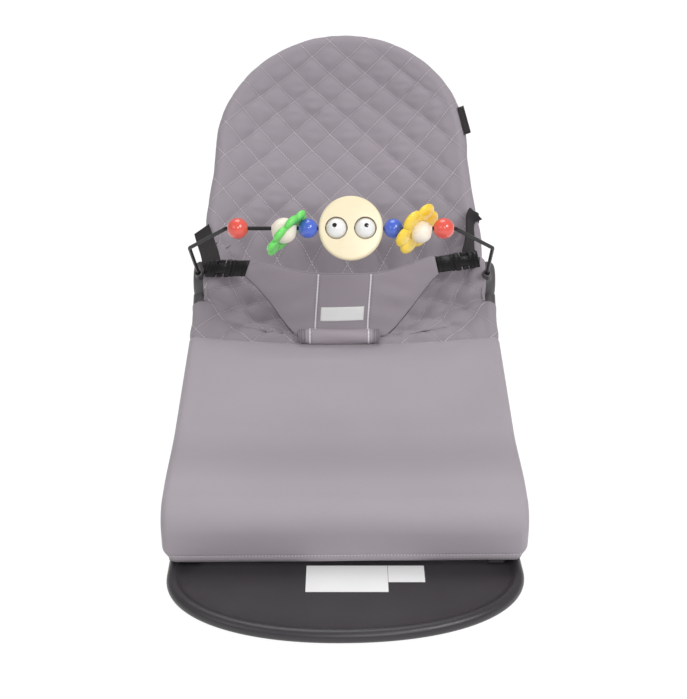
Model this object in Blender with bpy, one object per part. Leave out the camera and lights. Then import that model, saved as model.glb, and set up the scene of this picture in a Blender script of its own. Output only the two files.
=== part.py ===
"""Baby bouncer: a moulded foot plate and floor tube, a sprung seat frame that folds
flat on them, a reclining quilted back, and a toy bar of beads plugged into the hinges.

Sizes are millimetres in the design frame: X to the right seen from the front, Y from
the front of the foot plate to the head, Z up from the floor. Helpers turn them into
metres once, and the last lines centre the whole object over the origin.
"""

import math

import bmesh
import bpy
from mathutils import Matrix, Vector

MM = 0.001
TOUCH_GAP = 0.35

# Foot plate
PLATE_HALF_WIDTH = 193.5
PLATE_NOSE_DEPTH = 112.0
PLATE_DEPTH = 175.0
PLATE_CORNER = 22.0
PLATE_SKIN = 3.0
RIM_WIDTH = 16.0
RIM_SKIRT = 34.0
RIM_HEIGHT = 14.0
PAD_DROP = 2.0
PAD_WIDTH = 9.0
PANEL_RISE = 10.0

# Floor tube and its feet
FLOOR_TUBE_RADIUS = 7.0
FLOOR_TUBE_INSET = 43.5
FLOOR_TUBE_HALF_SPAN = PLATE_HALF_WIDTH - FLOOR_TUBE_INSET
FLOOR_TUBE_LENGTH = 455.0
FLOOR_TUBE_REAR = PLATE_DEPTH + FLOOR_TUBE_LENGTH
FLOOR_TUBE_BEND = 60.0
FOOT_WALL = 5.0
FOOT_LENGTH = 46.0
FOOT_INSET = 88.0
FOOT_SPACING = FLOOR_TUBE_HALF_SPAN - FOOT_INSET
SOCKET_WALL = 3.4
SOCKET_LENGTH = 42.0
TUBE_ENTRY = 34.0
SLIDE_FIT = 0.35

# Fold bracket, link and bounce pin under each front corner
FOLD_INSET = 35.0
FOLD_Y = PLATE_DEPTH - FOLD_INSET
FOLD_Z = 27.5
LINK_RISE = 13.0
LINK_SETBACK = 8.0
LINK_RADIUS = 8.0
LINK_WIDTH = 14.0
TONGUE_THICKNESS = 7.2
TONGUE_RADIUS = 6.8
CHEEK_THICKNESS = 3.0
CHEEK_CLEARANCE = 0.5
PIN_RADIUS = 2.5
PIN_FIT = 0.3
LEG_FOOT_INSET = 11.5
LEG_FOOT_X = PLATE_HALF_WIDTH - LEG_FOOT_INSET

# Leg frame
TUBE_RADIUS = 8.0
LEG_INSET = 7.5
LEG_X = PLATE_HALF_WIDTH - LEG_INSET
KNEE_SETBACK = 16.5
KNEE_Y = FOLD_Y - KNEE_SETBACK
KNEE_Z = 75.3
KNEE_BEND = 24.0
LEG_SLOPE = math.radians(12.4)
HIP_REACH = 306.5
HIP_Y = KNEE_Y + HIP_REACH
HIP_BEND = 30.0
KNEE_BAR_RADIUS = 6.0
HEM_ROD_RADIUS = 2.0

# Side hinges
HINGE_REACH = 65.0
HINGE_Y = HIP_Y + HINGE_REACH
HINGE_Z = 198.0
HINGE_RADIUS = 35.0
HINGE_OUTER_FACE = LEG_X + TUBE_RADIUS
HINGE_OUTER_THICKNESS = 14.5
HINGE_INNER_THICKNESS = 16.0
HINGE_GAP = 0.5
HINGE_EDGE = 4.0
SLEEVE_WALL = 1.6
SLEEVE_REACH = 54.0
TUBE_STOP = 37.0
BOLT_RADIUS = 4.0
BOLT_HEAD_RADIUS = 8.0
BOLT_HEAD_DEPTH = 4.0
WASHER_RADIUS = 22.0
WASHER_THICKNESS = 4.0

# Back frame
BACK_SLOPE = math.radians(47.5)
BACK_INSET = 16.0
BACK_X = LEG_X - BACK_INSET
BACK_LENGTH = 350.0
ARCH_START = 190.0
ARCH_TAPER = 12.0
ARCH_HALF_WIDTH = BACK_X - ARCH_TAPER
FABRIC_THICKNESS = 1.6
FABRIC_LIFT = 0.5
BINDING_OPENING = math.radians(62.0)

# Quilted back panel and seat bucket
QUILT_WIDTH = 48.4
QUILT_HEIGHT = 47.0
QUILT_PUFF = 4.2
QUILT_BASE = 3.0
BACK_SAG = 28.0
BUCKET_DEPTH = 70.0
BUCKET_SIDE_DEPTH = 30.0
BUCKET_FADE = 130.0
BUCKET_LIP_ANGLE = math.radians(30.0)
SLING_CLEARANCE = 9.0
SLING_INSET = 18.0
SLING_HALF_WIDTH = BACK_X - SLING_INSET
SLING_FRONT_INSET = 13.0
SLING_FRONT_HALF_WIDTH = LEG_X - SLING_FRONT_INSET
SLING_THICKNESS = 2.4

# Leg panel
LEG_PANEL_WRAP = 2.5
LEG_PANEL_HALF_WIDTH = LEG_X + TUBE_RADIUS + LEG_PANEL_WRAP
LEG_PANEL_HEM_Z = 19.0
LEG_PANEL_HEM_INSET = 4.5
LEG_PANEL_HEM_Y = KNEE_Y - LEG_PANEL_HEM_INSET
LEG_PANEL_END_INSET = 7.0
LEG_PANEL_END_Y = HIP_Y - LEG_PANEL_END_INSET
LEG_PANEL_CREST_INSET = 5.2
LEG_PANEL_CREST_Y = KNEE_Y - LEG_PANEL_CREST_INSET
LEG_PANEL_KNEE_BEND = 35.0
LEG_PANEL_FLANGE = 17.0
LEG_PANEL_SAG = 7.0
FOLD_ROLL = 3.5
WRINKLE_HEIGHT = 1.6

# Restraint, keeper and buckles
RESTRAINT_BASE_REACH = 9.0
RESTRAINT_BASE_Y = HIP_Y + RESTRAINT_BASE_REACH
RESTRAINT_BASE_Z = 155.0
RESTRAINT_LEAN = math.radians(76.0)
RESTRAINT_HEIGHT = 76.0
RESTRAINT_WING_HEIGHT = 93.0
RESTRAINT_WING_DROP = 70.0
RESTRAINT_FOOT_HALF_WIDTH = 46.5
RESTRAINT_INSET = 67.0
RESTRAINT_HALF_WIDTH = LEG_X - RESTRAINT_INSET
RESTRAINT_THICKNESS = 3.0
RESTRAINT_BOW = 10.0
KEEPER_WIDTH = 105.0
KEEPER_HEIGHT = 15.0
KEEPER_DEPTH = 15.0
BUCKLE_WIDTH = 24.0
BUCKLE_THICKNESS = 9.0
BUCKLE_MALE_LENGTH = 23.0
BUCKLE_FEMALE_LENGTH = 32.0
TAB_LENGTH = 10.0
TAB_WIDTH = 4.0
TAB_THICKNESS = 5.0
TAB_TRAVEL = 2.0
STRAP_WIDTH = 25.0
STRAP_THICKNESS = 1.6
STRAP_RADIUS = 70.5
STRAP_START = math.radians(58.5)
STRAP_END = math.radians(132.0)
STRAP_INSET = 9.0
STRAP_X = BACK_X - STRAP_INSET

# Toy bar
TOY_ANGLE = math.radians(36.5)
TOY_SOCKET_OUTSET = 1.0
TOY_SOCKET_X = LEG_X + TOY_SOCKET_OUTSET
TOY_SOCKET_RADIUS = 5.6
TOY_SOCKET_REACH = 52.0
WIRE_RADIUS = 2.0
WIRE_PLUG_START = 29.0
WIRE_BORE_START = 27.0
WIRE_BEND_REACH = 156.0
WIRE_BAR_REACH = 235.0
WIRE_BAR_HALF = 137.0
WIRE_BEND_SHARE = 0.84
WIRE_BEND_X = WIRE_BAR_HALF + WIRE_BEND_SHARE * (TOY_SOCKET_X - WIRE_BAR_HALF)
WIRE_BEND = 9.0
BEAD_BORE = 2.35

# Beads, centres along the bar from its middle
RED_BEAD_RADIUS = 11.8
RED_LEFT_X = -119.5
RED_RIGHT_X = 111.2
WOOD_LEFT_X = -67.6
WOOD_LEFT_RADIUS = 14.4
WOOD_RIGHT_X = 85.8
WOOD_RIGHT_RADIUS = 12.6
BLUE_BEAD_RADIUS = 11.0
BLUE_LEFT_X = -40.8
BLUE_RIGHT_X = 55.0
FLOWER_RADIUS = 32.5
FLOWER_THICKNESS = 8.0
FLOWER_GREEN_TILT = math.radians(42.0)
FLOWER_GREEN_SPIN = math.radians(-115.0)
FLOWER_GREEN_PETALS = 8
FLOWER_YELLOW_TILT = math.radians(47.0)
FLOWER_YELLOW_SPIN = math.radians(-153.0)
FLOWER_YELLOW_PETALS = 6
PETAL_DEPTH = 3.4
FACE_X = 7.2
FACE_RADIUS = 36.0
FACE_THICKNESS = 14.0
FACE_TILT = math.radians(25.0)
EYE_SPACING = 32.4
EYE_RADIUS = 12.0
EYE_FIT = 0.6

# Faceting
ROUND_SIDES = 10
DISC_SIDES = 24
BEAD_SIDES = 16
BEAD_RINGS = 8

SIDES = {"left": -1, "right": 1}

# Directions in the side view: up the back, out of its front, and along the toy legs
X_AXIS = Vector((1, 0, 0))
BACK_UP = Vector((0, math.cos(BACK_SLOPE), math.sin(BACK_SLOPE)))
BACK_FRONT = Vector((0, -math.sin(BACK_SLOPE), math.cos(BACK_SLOPE)))
TOY_OUT = Vector((0, -math.cos(TOY_ANGLE), math.sin(TOY_ANGLE)))
HINGE_CENTRE = Vector((0, HINGE_Y, HINGE_Z))
BOUNCE_Y = FOLD_Y - LINK_SETBACK
BOUNCE_Z = FOLD_Z + LINK_RISE
PLATE_TOP = PAD_DROP + PANEL_RISE
RIM_TOP = PAD_DROP + RIM_HEIGHT
FLOOR_TUBE_Z = FLOOR_TUBE_RADIUS + FOOT_WALL
BAR_CENTRE = HINGE_CENTRE + TOY_OUT * WIRE_BAR_REACH

pivots = {}


def pivot(name, location, parent=None):
    """An empty that carries one moving body, at a point on its joint's axis."""
    empty = bpy.data.objects.new(name, None)
    bpy.context.scene.collection.objects.link(empty)
    start = pivots[parent][1] if parent else Vector((0, 0, 0))
    empty.location = (Vector(location) - start) * MM
    if parent:
        empty.parent = pivots[parent][0]
    pivots[name] = (empty, Vector(location))


def material(name, colour, roughness, metallic=0.0):
    made = bpy.data.materials.new(name)
    made.use_nodes = True
    shader = made.node_tree.nodes["Principled BSDF"]
    shader.inputs["Base Color"].default_value = (*colour, 1.0)
    shader.inputs["Roughness"].default_value = roughness
    shader.inputs["Metallic"].default_value = metallic
    return made


def add_piece(name, shape, finish, carrier, smooth_under=35.0):
    """Turns a shape in millimetres into a named object on the carrier's pivot."""
    empty, start = pivots[carrier]
    shape.transform(Matrix.Scale(MM, 4) @ Matrix.Translation(-start))
    mesh = bpy.data.meshes.new(name)
    shape.to_mesh(mesh)
    shape.free()
    mesh.shade_smooth()
    mesh.set_sharp_from_angle(angle=math.radians(smooth_under))
    piece = bpy.data.objects.new(name, mesh)
    bpy.context.scene.collection.objects.link(piece)
    piece.parent = empty
    if finish:
        mesh.materials.append(finish)
    return piece


def combine(piece, shape, operation, carrier):
    """Adds a live Boolean of another shape, kept as a hidden wire guide."""
    guide = add_piece(f"{piece.name}_{operation.lower()}_{len(piece.modifiers)}", shape, None, carrier)
    guide.hide_render = True
    guide.display_type = "WIRE"
    boolean = piece.modifiers.new(operation.title(), "BOOLEAN")
    boolean.operation = operation
    boolean.solver = "EXACT"
    boolean.object = guide


def loft(rings, closed=False):
    """A solid through rings of equal count, capped at both ends or closed on itself."""
    shape = bmesh.new()
    rows = [[shape.verts.new(point) for point in ring] for ring in rings]
    pairs = list(zip(rows, rows[1:]))
    if closed:
        pairs.append((rows[-1], rows[0]))
    else:
        shape.faces.new(rows[0])
        shape.faces.new(rows[-1])
    for low, high in pairs:
        for i in range(len(low)):
            j = (i + 1) % len(low)
            shape.faces.new((low[i], low[j], high[j], high[i]))
    bmesh.ops.recalc_face_normals(shape, faces=shape.faces)
    return shape


def prism(outline, depth):
    """A flat outline of points, thickened by the vector depth."""
    return loft([outline, [point + depth for point in outline]])


def turned(profile, sides=DISC_SIDES):
    """A closed profile of (radius, height) points spun once about Z."""
    shape = bmesh.new()
    points = [shape.verts.new((radius, 0, height)) for radius, height in profile]
    edges = [shape.edges.new(pair) for pair in zip(points, points[1:])]
    if profile[0][0] > 0 or profile[-1][0] > 0:
        edges.append(shape.edges.new((points[-1], points[0])))
    bmesh.ops.spin(
        shape,
        geom=points + edges,
        cent=(0, 0, 0),
        axis=(0, 0, 1),
        angle=2 * math.pi,
        steps=sides,
        use_merge=True,
    )
    bmesh.ops.remove_doubles(shape, verts=shape.verts, dist=1e-4)
    bmesh.ops.recalc_face_normals(shape, faces=shape.faces)
    return shape


def rod(start, end, radius, sides=ROUND_SIDES):
    """A round bar between two points."""
    run = end - start
    shape = turned([(0, 0), (radius, 0), (radius, run.length), (0, run.length)], sides)
    turn = Vector((0, 0, 1)).rotation_difference(run).to_matrix().to_4x4()
    shape.transform(Matrix.Translation(start) @ turn)
    return shape


def box(low, high, bevel=0.0, segments=2):
    """A block between two corners, with rounded edges where a bevel is given."""
    shape = bmesh.new()
    bmesh.ops.create_cube(shape, size=1)
    size = high - low
    shape.transform(Matrix.Translation((low + high) / 2) @ Matrix.Diagonal((*size, 1)))
    if bevel:
        bmesh.ops.bevel(shape, geom=shape.edges[:], offset=bevel, segments=segments, affect="EDGES", profile=0.5)
    return shape


def turn_to(shape, direction, at):
    """Turns a shape made about Z onto a direction, and moves it there."""
    turn = Vector((0, 0, 1)).rotation_difference(direction).to_matrix().to_4x4()
    shape.transform(Matrix.Translation(at) @ turn)
    return shape


def rounded_path(corners, bends, step=math.radians(14)):
    """A path of straight runs whose inner corners are arcs of the given radii."""
    path = [corners[0]]
    for before, corner, after, bend in zip(corners, corners[1:], corners[2:], bends):
        into = (corner - before).normalized()
        away = (after - corner).normalized()
        turn = into.angle(away)
        tangent = bend * math.tan(turn / 2)
        centre = corner + (away - into).normalized() * (bend / math.cos(turn / 2))
        first = corner - into * tangent - centre
        last = corner + away * tangent - centre
        steps = max(2, math.ceil(turn / step))
        for i in range(steps + 1):
            share = i / steps
            near = math.sin((1 - share) * turn) / math.sin(turn)
            far = math.sin(share * turn) / math.sin(turn)
            path.append(centre + first * near + last * far)
    path.append(corners[-1])
    return path


def swept(path, section, sideways):
    """A section of (u, v) points carried along a path: u along sideways, v square to both."""
    rings = []
    for i, point in enumerate(path):
        ahead = (path[min(i + 1, len(path) - 1)] - point).normalized()
        behind = (point - path[max(i - 1, 0)]).normalized()
        tangent = (ahead + behind).normalized()
        across = (sideways - tangent * sideways.dot(tangent)).normalized()
        upward = tangent.cross(across)
        rings.append([point + across * u + upward * v for u, v in section])
    return loft(rings)


def circle(radius, sides=ROUND_SIDES):
    return [
        (radius * math.cos(2 * math.pi * i / sides), radius * math.sin(2 * math.pi * i / sides))
        for i in range(sides)
    ]


def open_ring(radius, thickness, opening, facing, steps=8):
    """A C-shaped section of cloth round a tube, open over an angle about facing."""
    sweep = 2 * math.pi - opening
    radius /= math.cos(sweep / steps / 2)
    angles = [facing + opening / 2 + sweep * i / steps for i in range(steps + 1)]
    outer = [((radius + thickness) * math.cos(a), (radius + thickness) * math.sin(a)) for a in angles]
    inner = [(radius * math.cos(a), radius * math.sin(a)) for a in reversed(angles)]
    return outer + inner


def smooth_share(value):
    value = min(1.0, max(0.0, value))
    return value * value * (3 - 2 * value)


def mirror_x(point, side):
    return Vector((point.x * side, point.y, point.z))


def plate_outline(inset, height):
    """The D-shaped outline: half an ellipse in front, a straight back with round corners."""
    width = PLATE_HALF_WIDTH - inset
    nose = PLATE_NOSE_DEPTH - inset
    corner = PLATE_CORNER - min(inset, PLATE_CORNER - 4)
    back = PLATE_DEPTH - inset
    outline = []
    for i in range(25):
        angle = math.pi * i / 24
        outline.append(Vector((width * math.cos(angle), PLATE_NOSE_DEPTH - nose * math.sin(angle), height)))
    for side, first in ((-1, math.pi), (1, math.pi / 2)):
        for i in range(5):
            angle = first - math.radians(22.5) * i
            centre_x = side * (width - corner)
            x = centre_x + corner * math.cos(angle)
            outline.append(Vector((x, back - corner + corner * math.sin(angle), height)))
    return outline


def make_foot_plate(finish):
    """The moulded plate: a thin top skin inside a rolled rim, with two tube sockets behind."""
    under = PLATE_TOP - PLATE_SKIN
    profile = [
        (RIM_SKIRT, PLATE_TOP),
        (RIM_WIDTH, PLATE_TOP + 0.3),
        (RIM_WIDTH - 4, PLATE_TOP + 2),
        (RIM_WIDTH - 8, RIM_TOP),
        (4, RIM_TOP - 0.8),
        (1, RIM_TOP - 3.5),
        (0, RIM_TOP - 7),
        (1, PAD_DROP + 3.5),
        (4, PAD_DROP + 0.8),
        (8, PAD_DROP),
        (12, PAD_DROP + 1),
        (RIM_WIDTH - 2, PAD_DROP + 4),
        (RIM_WIDTH, under - 0.4),
        (RIM_SKIRT, under),
    ]
    plate = add_piece("foot_plate", loft([plate_outline(i, z) for i, z in profile]), finish, "base")
    for side in SIDES.values():
        start = Vector((side * FLOOR_TUBE_HALF_SPAN, PLATE_DEPTH - 14, FLOOR_TUBE_Z))
        mouth = Vector((start.x, PLATE_DEPTH + SOCKET_LENGTH - 14, FLOOR_TUBE_Z))
        combine(plate, rod(start, mouth, FLOOR_TUBE_RADIUS + SOCKET_WALL, 16), "UNION", "base")
    for side in SIDES.values():
        mouth = Vector((side * FLOOR_TUBE_HALF_SPAN, PLATE_DEPTH + SOCKET_LENGTH + 6, FLOOR_TUBE_Z))
        stop = mouth - Vector((0, TUBE_ENTRY + 22, 0))
        combine(plate, rod(stop, mouth, FLOOR_TUBE_RADIUS + SLIDE_FIT, 16), "DIFFERENCE", "base")


def make_front_pads(finish):
    """Three rubber pads let into the underside of the rim."""
    for name, middle in (("middle", 12), ("left", 20), ("right", 4)):
        outer = plate_outline(3.5, 0)
        inner = plate_outline(3.5 + PAD_WIDTH, 0)
        span = range(middle - 1, middle + 2)
        outline = [outer[i] for i in span] + [inner[i] for i in reversed(span)]
        add_piece(f"front_pad_{name}", prism(outline, Vector((0, 0, PAD_DROP - TOUCH_GAP))), finish, "base")


def floor_tube_path():
    front = PLATE_DEPTH + SOCKET_LENGTH - 14 - TUBE_ENTRY
    corners = [
        Vector((-FLOOR_TUBE_HALF_SPAN, front, FLOOR_TUBE_Z)),
        Vector((-FLOOR_TUBE_HALF_SPAN, FLOOR_TUBE_REAR, FLOOR_TUBE_Z)),
        Vector((FLOOR_TUBE_HALF_SPAN, FLOOR_TUBE_REAR, FLOOR_TUBE_Z)),
        Vector((FLOOR_TUBE_HALF_SPAN, front, FLOOR_TUBE_Z)),
    ]
    return rounded_path(corners, (FLOOR_TUBE_BEND, FLOOR_TUBE_BEND))


def make_floor_tube(steel, rubber):
    tube = swept(floor_tube_path(), circle(FLOOR_TUBE_RADIUS), Vector((0, 0, 1)))
    add_piece("floor_tube", tube, steel, "base")
    for name, side in SIDES.items():
        inner = FLOOR_TUBE_RADIUS + TOUCH_GAP + 0.25
        outer = FLOOR_TUBE_RADIUS + FOOT_WALL
        half = FOOT_LENGTH / 2
        profile = [
            (inner, -half),
            (outer - 2, -half),
            (outer, 2 - half),
            (outer, half - 2),
            (outer - 2, half),
            (inner, half),
        ]
        foot = turned(profile, 12)
        turn_to(foot, X_AXIS, Vector((side * FOOT_SPACING, FLOOR_TUBE_REAR, FLOOR_TUBE_Z)))
        add_piece(f"rear_foot_{name}", foot, rubber, "base")


def stadium(centres, radius, x, steps=6):
    """The outline of a link plate round two centres in the side view."""
    lower, upper = centres
    run = (upper - lower).normalized()
    start = math.atan2(run.z, run.y)
    outline = []
    for centre, first in ((upper, start - math.pi / 2), (lower, start + math.pi / 2)):
        for i in range(steps + 1):
            angle = first + math.pi * i / steps
            outline.append(Vector((x, centre.y + radius * math.cos(angle), centre.z + radius * math.sin(angle))))
    return outline


def make_fold_hardware(steel, plastic):
    """Brackets on the plate, their pins, and the links between fold and bounce axes."""
    fold = Vector((0, FOLD_Y, FOLD_Z))
    bounce = Vector((0, BOUNCE_Y, BOUNCE_Z))
    half_link = LINK_WIDTH / 2
    inside = half_link + CHEEK_CLEARANCE
    outside = inside + CHEEK_THICKNESS
    for name, side in SIDES.items():
        floor = PLATE_TOP + TOUCH_GAP + 0.3
        rim = RIM_TOP + TOUCH_GAP
        web = rim + CHEEK_THICKNESS - 0.4
        top = FOLD_Z + LINK_RADIUS
        outline = [
            (-outside - 13, floor),
            (-outside + 3, floor),
            (-outside + 5, rim),
            (outside, rim),
            (outside, top),
            (inside, top),
            (inside, web),
            (-inside, web),
            (-inside, top),
            (-outside, top),
            (-outside, floor + CHEEK_THICKNESS),
            (-outside - 13, floor + CHEEK_THICKNESS),
        ]
        points = [Vector((side * (LEG_FOOT_X + u), FOLD_Y - 12, z)) for u, z in outline]
        bracket = add_piece(f"leg_bracket_{name}", prism(points, Vector((0, 24, 0))), steel, "base")
        hole = rod(
            Vector((side * LEG_FOOT_X - 30, FOLD_Y, FOLD_Z)),
            Vector((side * LEG_FOOT_X + 30, FOLD_Y, FOLD_Z)),
            PIN_RADIUS + PIN_FIT,
        )
        combine(bracket, hole, "DIFFERENCE", "base")
        head = Vector((side * (LEG_FOOT_X - outside - 6.5), FOLD_Y, floor + CHEEK_THICKNESS + TOUCH_GAP))
        add_piece(f"bracket_screw_{name}", rod(head, head + Vector((0, 0, 2.4)), 4.5), steel, "base")
        low = Vector((side * LEG_FOOT_X - outside - 1.2, FOLD_Y, FOLD_Z))
        high = Vector((side * LEG_FOOT_X + outside + 0.6, FOLD_Y, FOLD_Z))
        add_piece(f"fold_pin_{name}", rod(low, high, PIN_RADIUS), steel, "base")

        left_face = stadium((fold, bounce), LINK_RADIUS, side * LEG_FOOT_X - half_link)
        link = add_piece(f"leg_link_{name}", prism(left_face, X_AXIS * LINK_WIDTH), plastic, "link_axis")
        slot_half = TONGUE_THICKNESS / 2 + 0.4
        run = (bounce - fold).normalized()
        slot = box(
            Vector((side * LEG_FOOT_X - slot_half, -30, -(TONGUE_RADIUS + 1.2))),
            Vector((side * LEG_FOOT_X + slot_half, 30, 30)),
        )
        slot.transform(Matrix.Translation(bounce) @ Vector((0, 0, 1)).rotation_difference(run).to_matrix().to_4x4())
        combine(link, slot, "DIFFERENCE", "link_axis")
        for centre in (fold, bounce):
            low = Vector((side * LEG_FOOT_X - 30, centre.y, centre.z))
            combine(link, rod(low, low + X_AXIS * 60, PIN_RADIUS + PIN_FIT), "DIFFERENCE", "link_axis")
        low = Vector((side * LEG_FOOT_X - half_link - 0.6, BOUNCE_Y, BOUNCE_Z))
        pin = rod(low, low + X_AXIS * (LINK_WIDTH + 1.2), PIN_RADIUS)
        add_piece(f"bounce_pin_{name}", pin, steel, "link_axis")


def leg_line(y, lift=0.0):
    """A point on the leg tube's long upper run, or lifted square off it."""
    along = Vector((0, y, KNEE_Z + math.tan(LEG_SLOPE) * (y - KNEE_Y)))
    return along + Vector((0, -math.sin(LEG_SLOPE), math.cos(LEG_SLOPE))) * lift


def hip_direction():
    return (HINGE_CENTRE - leg_line(HIP_Y)).normalized()


def leg_path(side):
    """The leg tube's centre line, from above its bounce pin to inside the hinge sleeve."""
    knee = Vector((0, KNEE_Y, KNEE_Z))
    pin = Vector((0, BOUNCE_Y, BOUNCE_Z))
    foot = pin + (knee - pin).normalized() * (LINK_RADIUS + 1.0)
    stop = HINGE_CENTRE - hip_direction() * TUBE_STOP
    corners = [foot, knee, leg_line(HIP_Y), stop]
    path = rounded_path(corners, (KNEE_BEND, HIP_BEND))
    spread = LEG_X - LEG_FOOT_X
    for point in path:
        share = smooth_share((point.z - foot.z) / (leg_line(KNEE_Y + 60).z - foot.z))
        point.x = side * (LEG_FOOT_X + spread * share)
    return path


def make_leg_tubes(steel):
    pin = Vector((0, BOUNCE_Y, BOUNCE_Z))
    knee = Vector((0, KNEE_Y, KNEE_Z))
    upward = (knee - pin).normalized()
    for name, side in SIDES.items():
        tube = add_piece(f"leg_tube_{name}", swept(leg_path(side), circle(TUBE_RADIUS), X_AXIS), steel, "bounce_axis")
        x = side * LEG_FOOT_X - TONGUE_THICKNESS / 2
        face = stadium((pin, pin + upward * (LINK_RADIUS + 8)), TONGUE_RADIUS, x)
        combine(tube, prism(face, X_AXIS * TONGUE_THICKNESS), "UNION", "bounce_axis")
        low = Vector((side * LEG_FOOT_X - 30, BOUNCE_Y, BOUNCE_Z))
        combine(tube, rod(low, low + X_AXIS * 60, PIN_RADIUS + PIN_FIT), "DIFFERENCE", "bounce_axis")
    middle = leg_path(1)[3]
    reach = middle.x - TUBE_RADIUS - TOUCH_GAP - 0.6
    bar_start = Vector((-reach, middle.y, middle.z))
    bar_end = Vector((reach, middle.y, middle.z))
    add_piece("knee_bar", rod(bar_start, bar_end, KNEE_BAR_RADIUS), steel, "bounce_axis")
    hem = Vector((0, LEG_PANEL_HEM_Y + FABRIC_THICKNESS + TOUCH_GAP + HEM_ROD_RADIUS, LEG_PANEL_HEM_Z + 4))
    reach = LEG_PANEL_HALF_WIDTH - 14
    add_piece("hem_rod", rod(hem - X_AXIS * reach, hem + X_AXIS * reach, HEM_ROD_RADIUS, 8), steel, "bounce_axis")


def panel_profile():
    """The leg panel's outer face in the side view, from its hem over the knee to the seat fold."""
    lift = TUBE_RADIUS + TOUCH_GAP + FABRIC_THICKNESS
    crest = leg_line(LEG_PANEL_CREST_Y, lift)
    end = leg_line(LEG_PANEL_END_Y, lift)
    corners = [Vector((0, LEG_PANEL_HEM_Y, LEG_PANEL_HEM_Z)), crest, end]
    rounded = rounded_path(corners, (LEG_PANEL_KNEE_BEND,), math.radians(13))
    path = [rounded[0]]
    for point in rounded[1:]:
        pieces = max(1, round((point - path[-1]).length / 40))
        first = path[-1]
        path.extend(first.lerp(point, (i + 1) / pieces) for i in range(pieces))
    return path


def make_leg_panel(cloth):
    """Cloth stretched over both leg tubes, with a low middle and soft folds near the seat."""
    path = panel_profile()
    half = LEG_PANEL_HALF_WIDTH
    thick = FABRIC_THICKNESS
    level = LEG_X - TUBE_RADIUS - 1
    inner_xs = [level * share for share in (-1, -0.82, -0.56, -0.28, 0, 0.28, 0.56, 0.82, 1)]
    length = sum((b - a).length for a, b in zip(path, path[1:]))
    run = 0.0
    rings = []
    for i, point in enumerate(path):
        if i:
            run += (point - path[i - 1]).length
        ahead = path[min(i + 1, len(path) - 1)] - path[max(i - 1, 0)]
        normal = X_AXIS.cross(ahead.normalized())
        share = run / length
        sag = LEG_PANEL_SAG * math.sin(math.pi * smooth_share((share - 0.14) / 0.84))
        fold = WRINKLE_HEIGHT * smooth_share((share - 0.74) / 0.14) * math.sin(run / 9)
        roll = FOLD_ROLL * smooth_share((share - 0.9) / 0.08)
        drop = LEG_PANEL_FLANGE * smooth_share(0.45 + share * 4)

        def height(x):
            return (1 - (x / level) ** 2) * (fold * math.cos(6 * x / level) + roll - sag)

        outer = [(-half, -drop), (-half, -3.5), (2 - half, -0.6)]
        outer += [(x, height(x)) for x in inner_xs]
        outer += [(half - 2, -0.6), (half, -3.5), (half, -drop)]
        inner = [(half - thick, -drop), (half - thick, -4), (half - 3.2, -0.6 - thick)]
        inner += [(x, height(x) - thick) for x in reversed(inner_xs)]
        inner += [(3.2 - half, -0.6 - thick), (thick - half, -4), (thick - half, -drop)]
        rings.append([point + X_AXIS * x + normal * z for x, z in outer + inner])
    add_piece("leg_panel", loft(rings), cloth, "bounce_axis", 60)


def make_hip_covers(cloth):
    """Cloth round each leg tube between the seat fold and the hinge."""
    for name, side in SIDES.items():
        tube = leg_path(side)
        stop = HINGE_CENTRE - hip_direction() * (SLEEVE_REACH + 1) + X_AXIS * side * LEG_X
        start_y = LEG_PANEL_END_Y + 4
        bend = [point for point in tube if start_y + 1 < point.y < stop.y]
        before = tube[tube.index(bend[0]) - 1]
        start = before.lerp(bend[0], (start_y - before.y) / (bend[0].y - before.y))
        path = [start, *bend, stop]
        section = open_ring(TUBE_RADIUS + FABRIC_LIFT, FABRIC_THICKNESS, math.radians(70), math.radians(-90))
        add_piece(f"hip_cover_{name}", swept(path, section, X_AXIS), cloth, "bounce_axis", 60)


def bucket_depth(x):
    """How far behind the hinge axis the seat bucket lies, at a place across it."""
    middle = BUCKET_DEPTH - BUCKET_SIDE_DEPTH
    return BUCKET_SIDE_DEPTH + middle * (1 - (x / ARCH_HALF_WIDTH) ** 2)


def around_hinge(x, depth, angle):
    """A point at a depth from the hinge axis, turned under the seat from the back's line."""
    spoke = -BACK_FRONT * math.cos(angle) - BACK_UP * math.sin(angle)
    return HINGE_CENTRE + X_AXIS * x + spoke * depth


def solid_sheet(grid, thickness):
    """A closed solid of even thickness round a grid of points."""
    shape = bmesh.new()
    rows = [[shape.verts.new(point) for point in row] for row in grid]
    for low, high in zip(rows, rows[1:]):
        for i in range(len(low) - 1):
            shape.faces.new((low[i], low[i + 1], high[i + 1], high[i]))
    bmesh.ops.recalc_face_normals(shape, faces=shape.faces)
    shape.normal_update()
    normals = [[point.normal.copy() for point in row] for row in rows]
    shape.free()
    half = thickness / 2
    rings = []
    for row, directions in zip(grid, normals):
        over = [point + direction * half for point, direction in zip(row, directions)]
        under = [point - direction * half for point, direction in zip(row, directions)]
        rings.append(over + under[::-1])
    return loft(rings)


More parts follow.
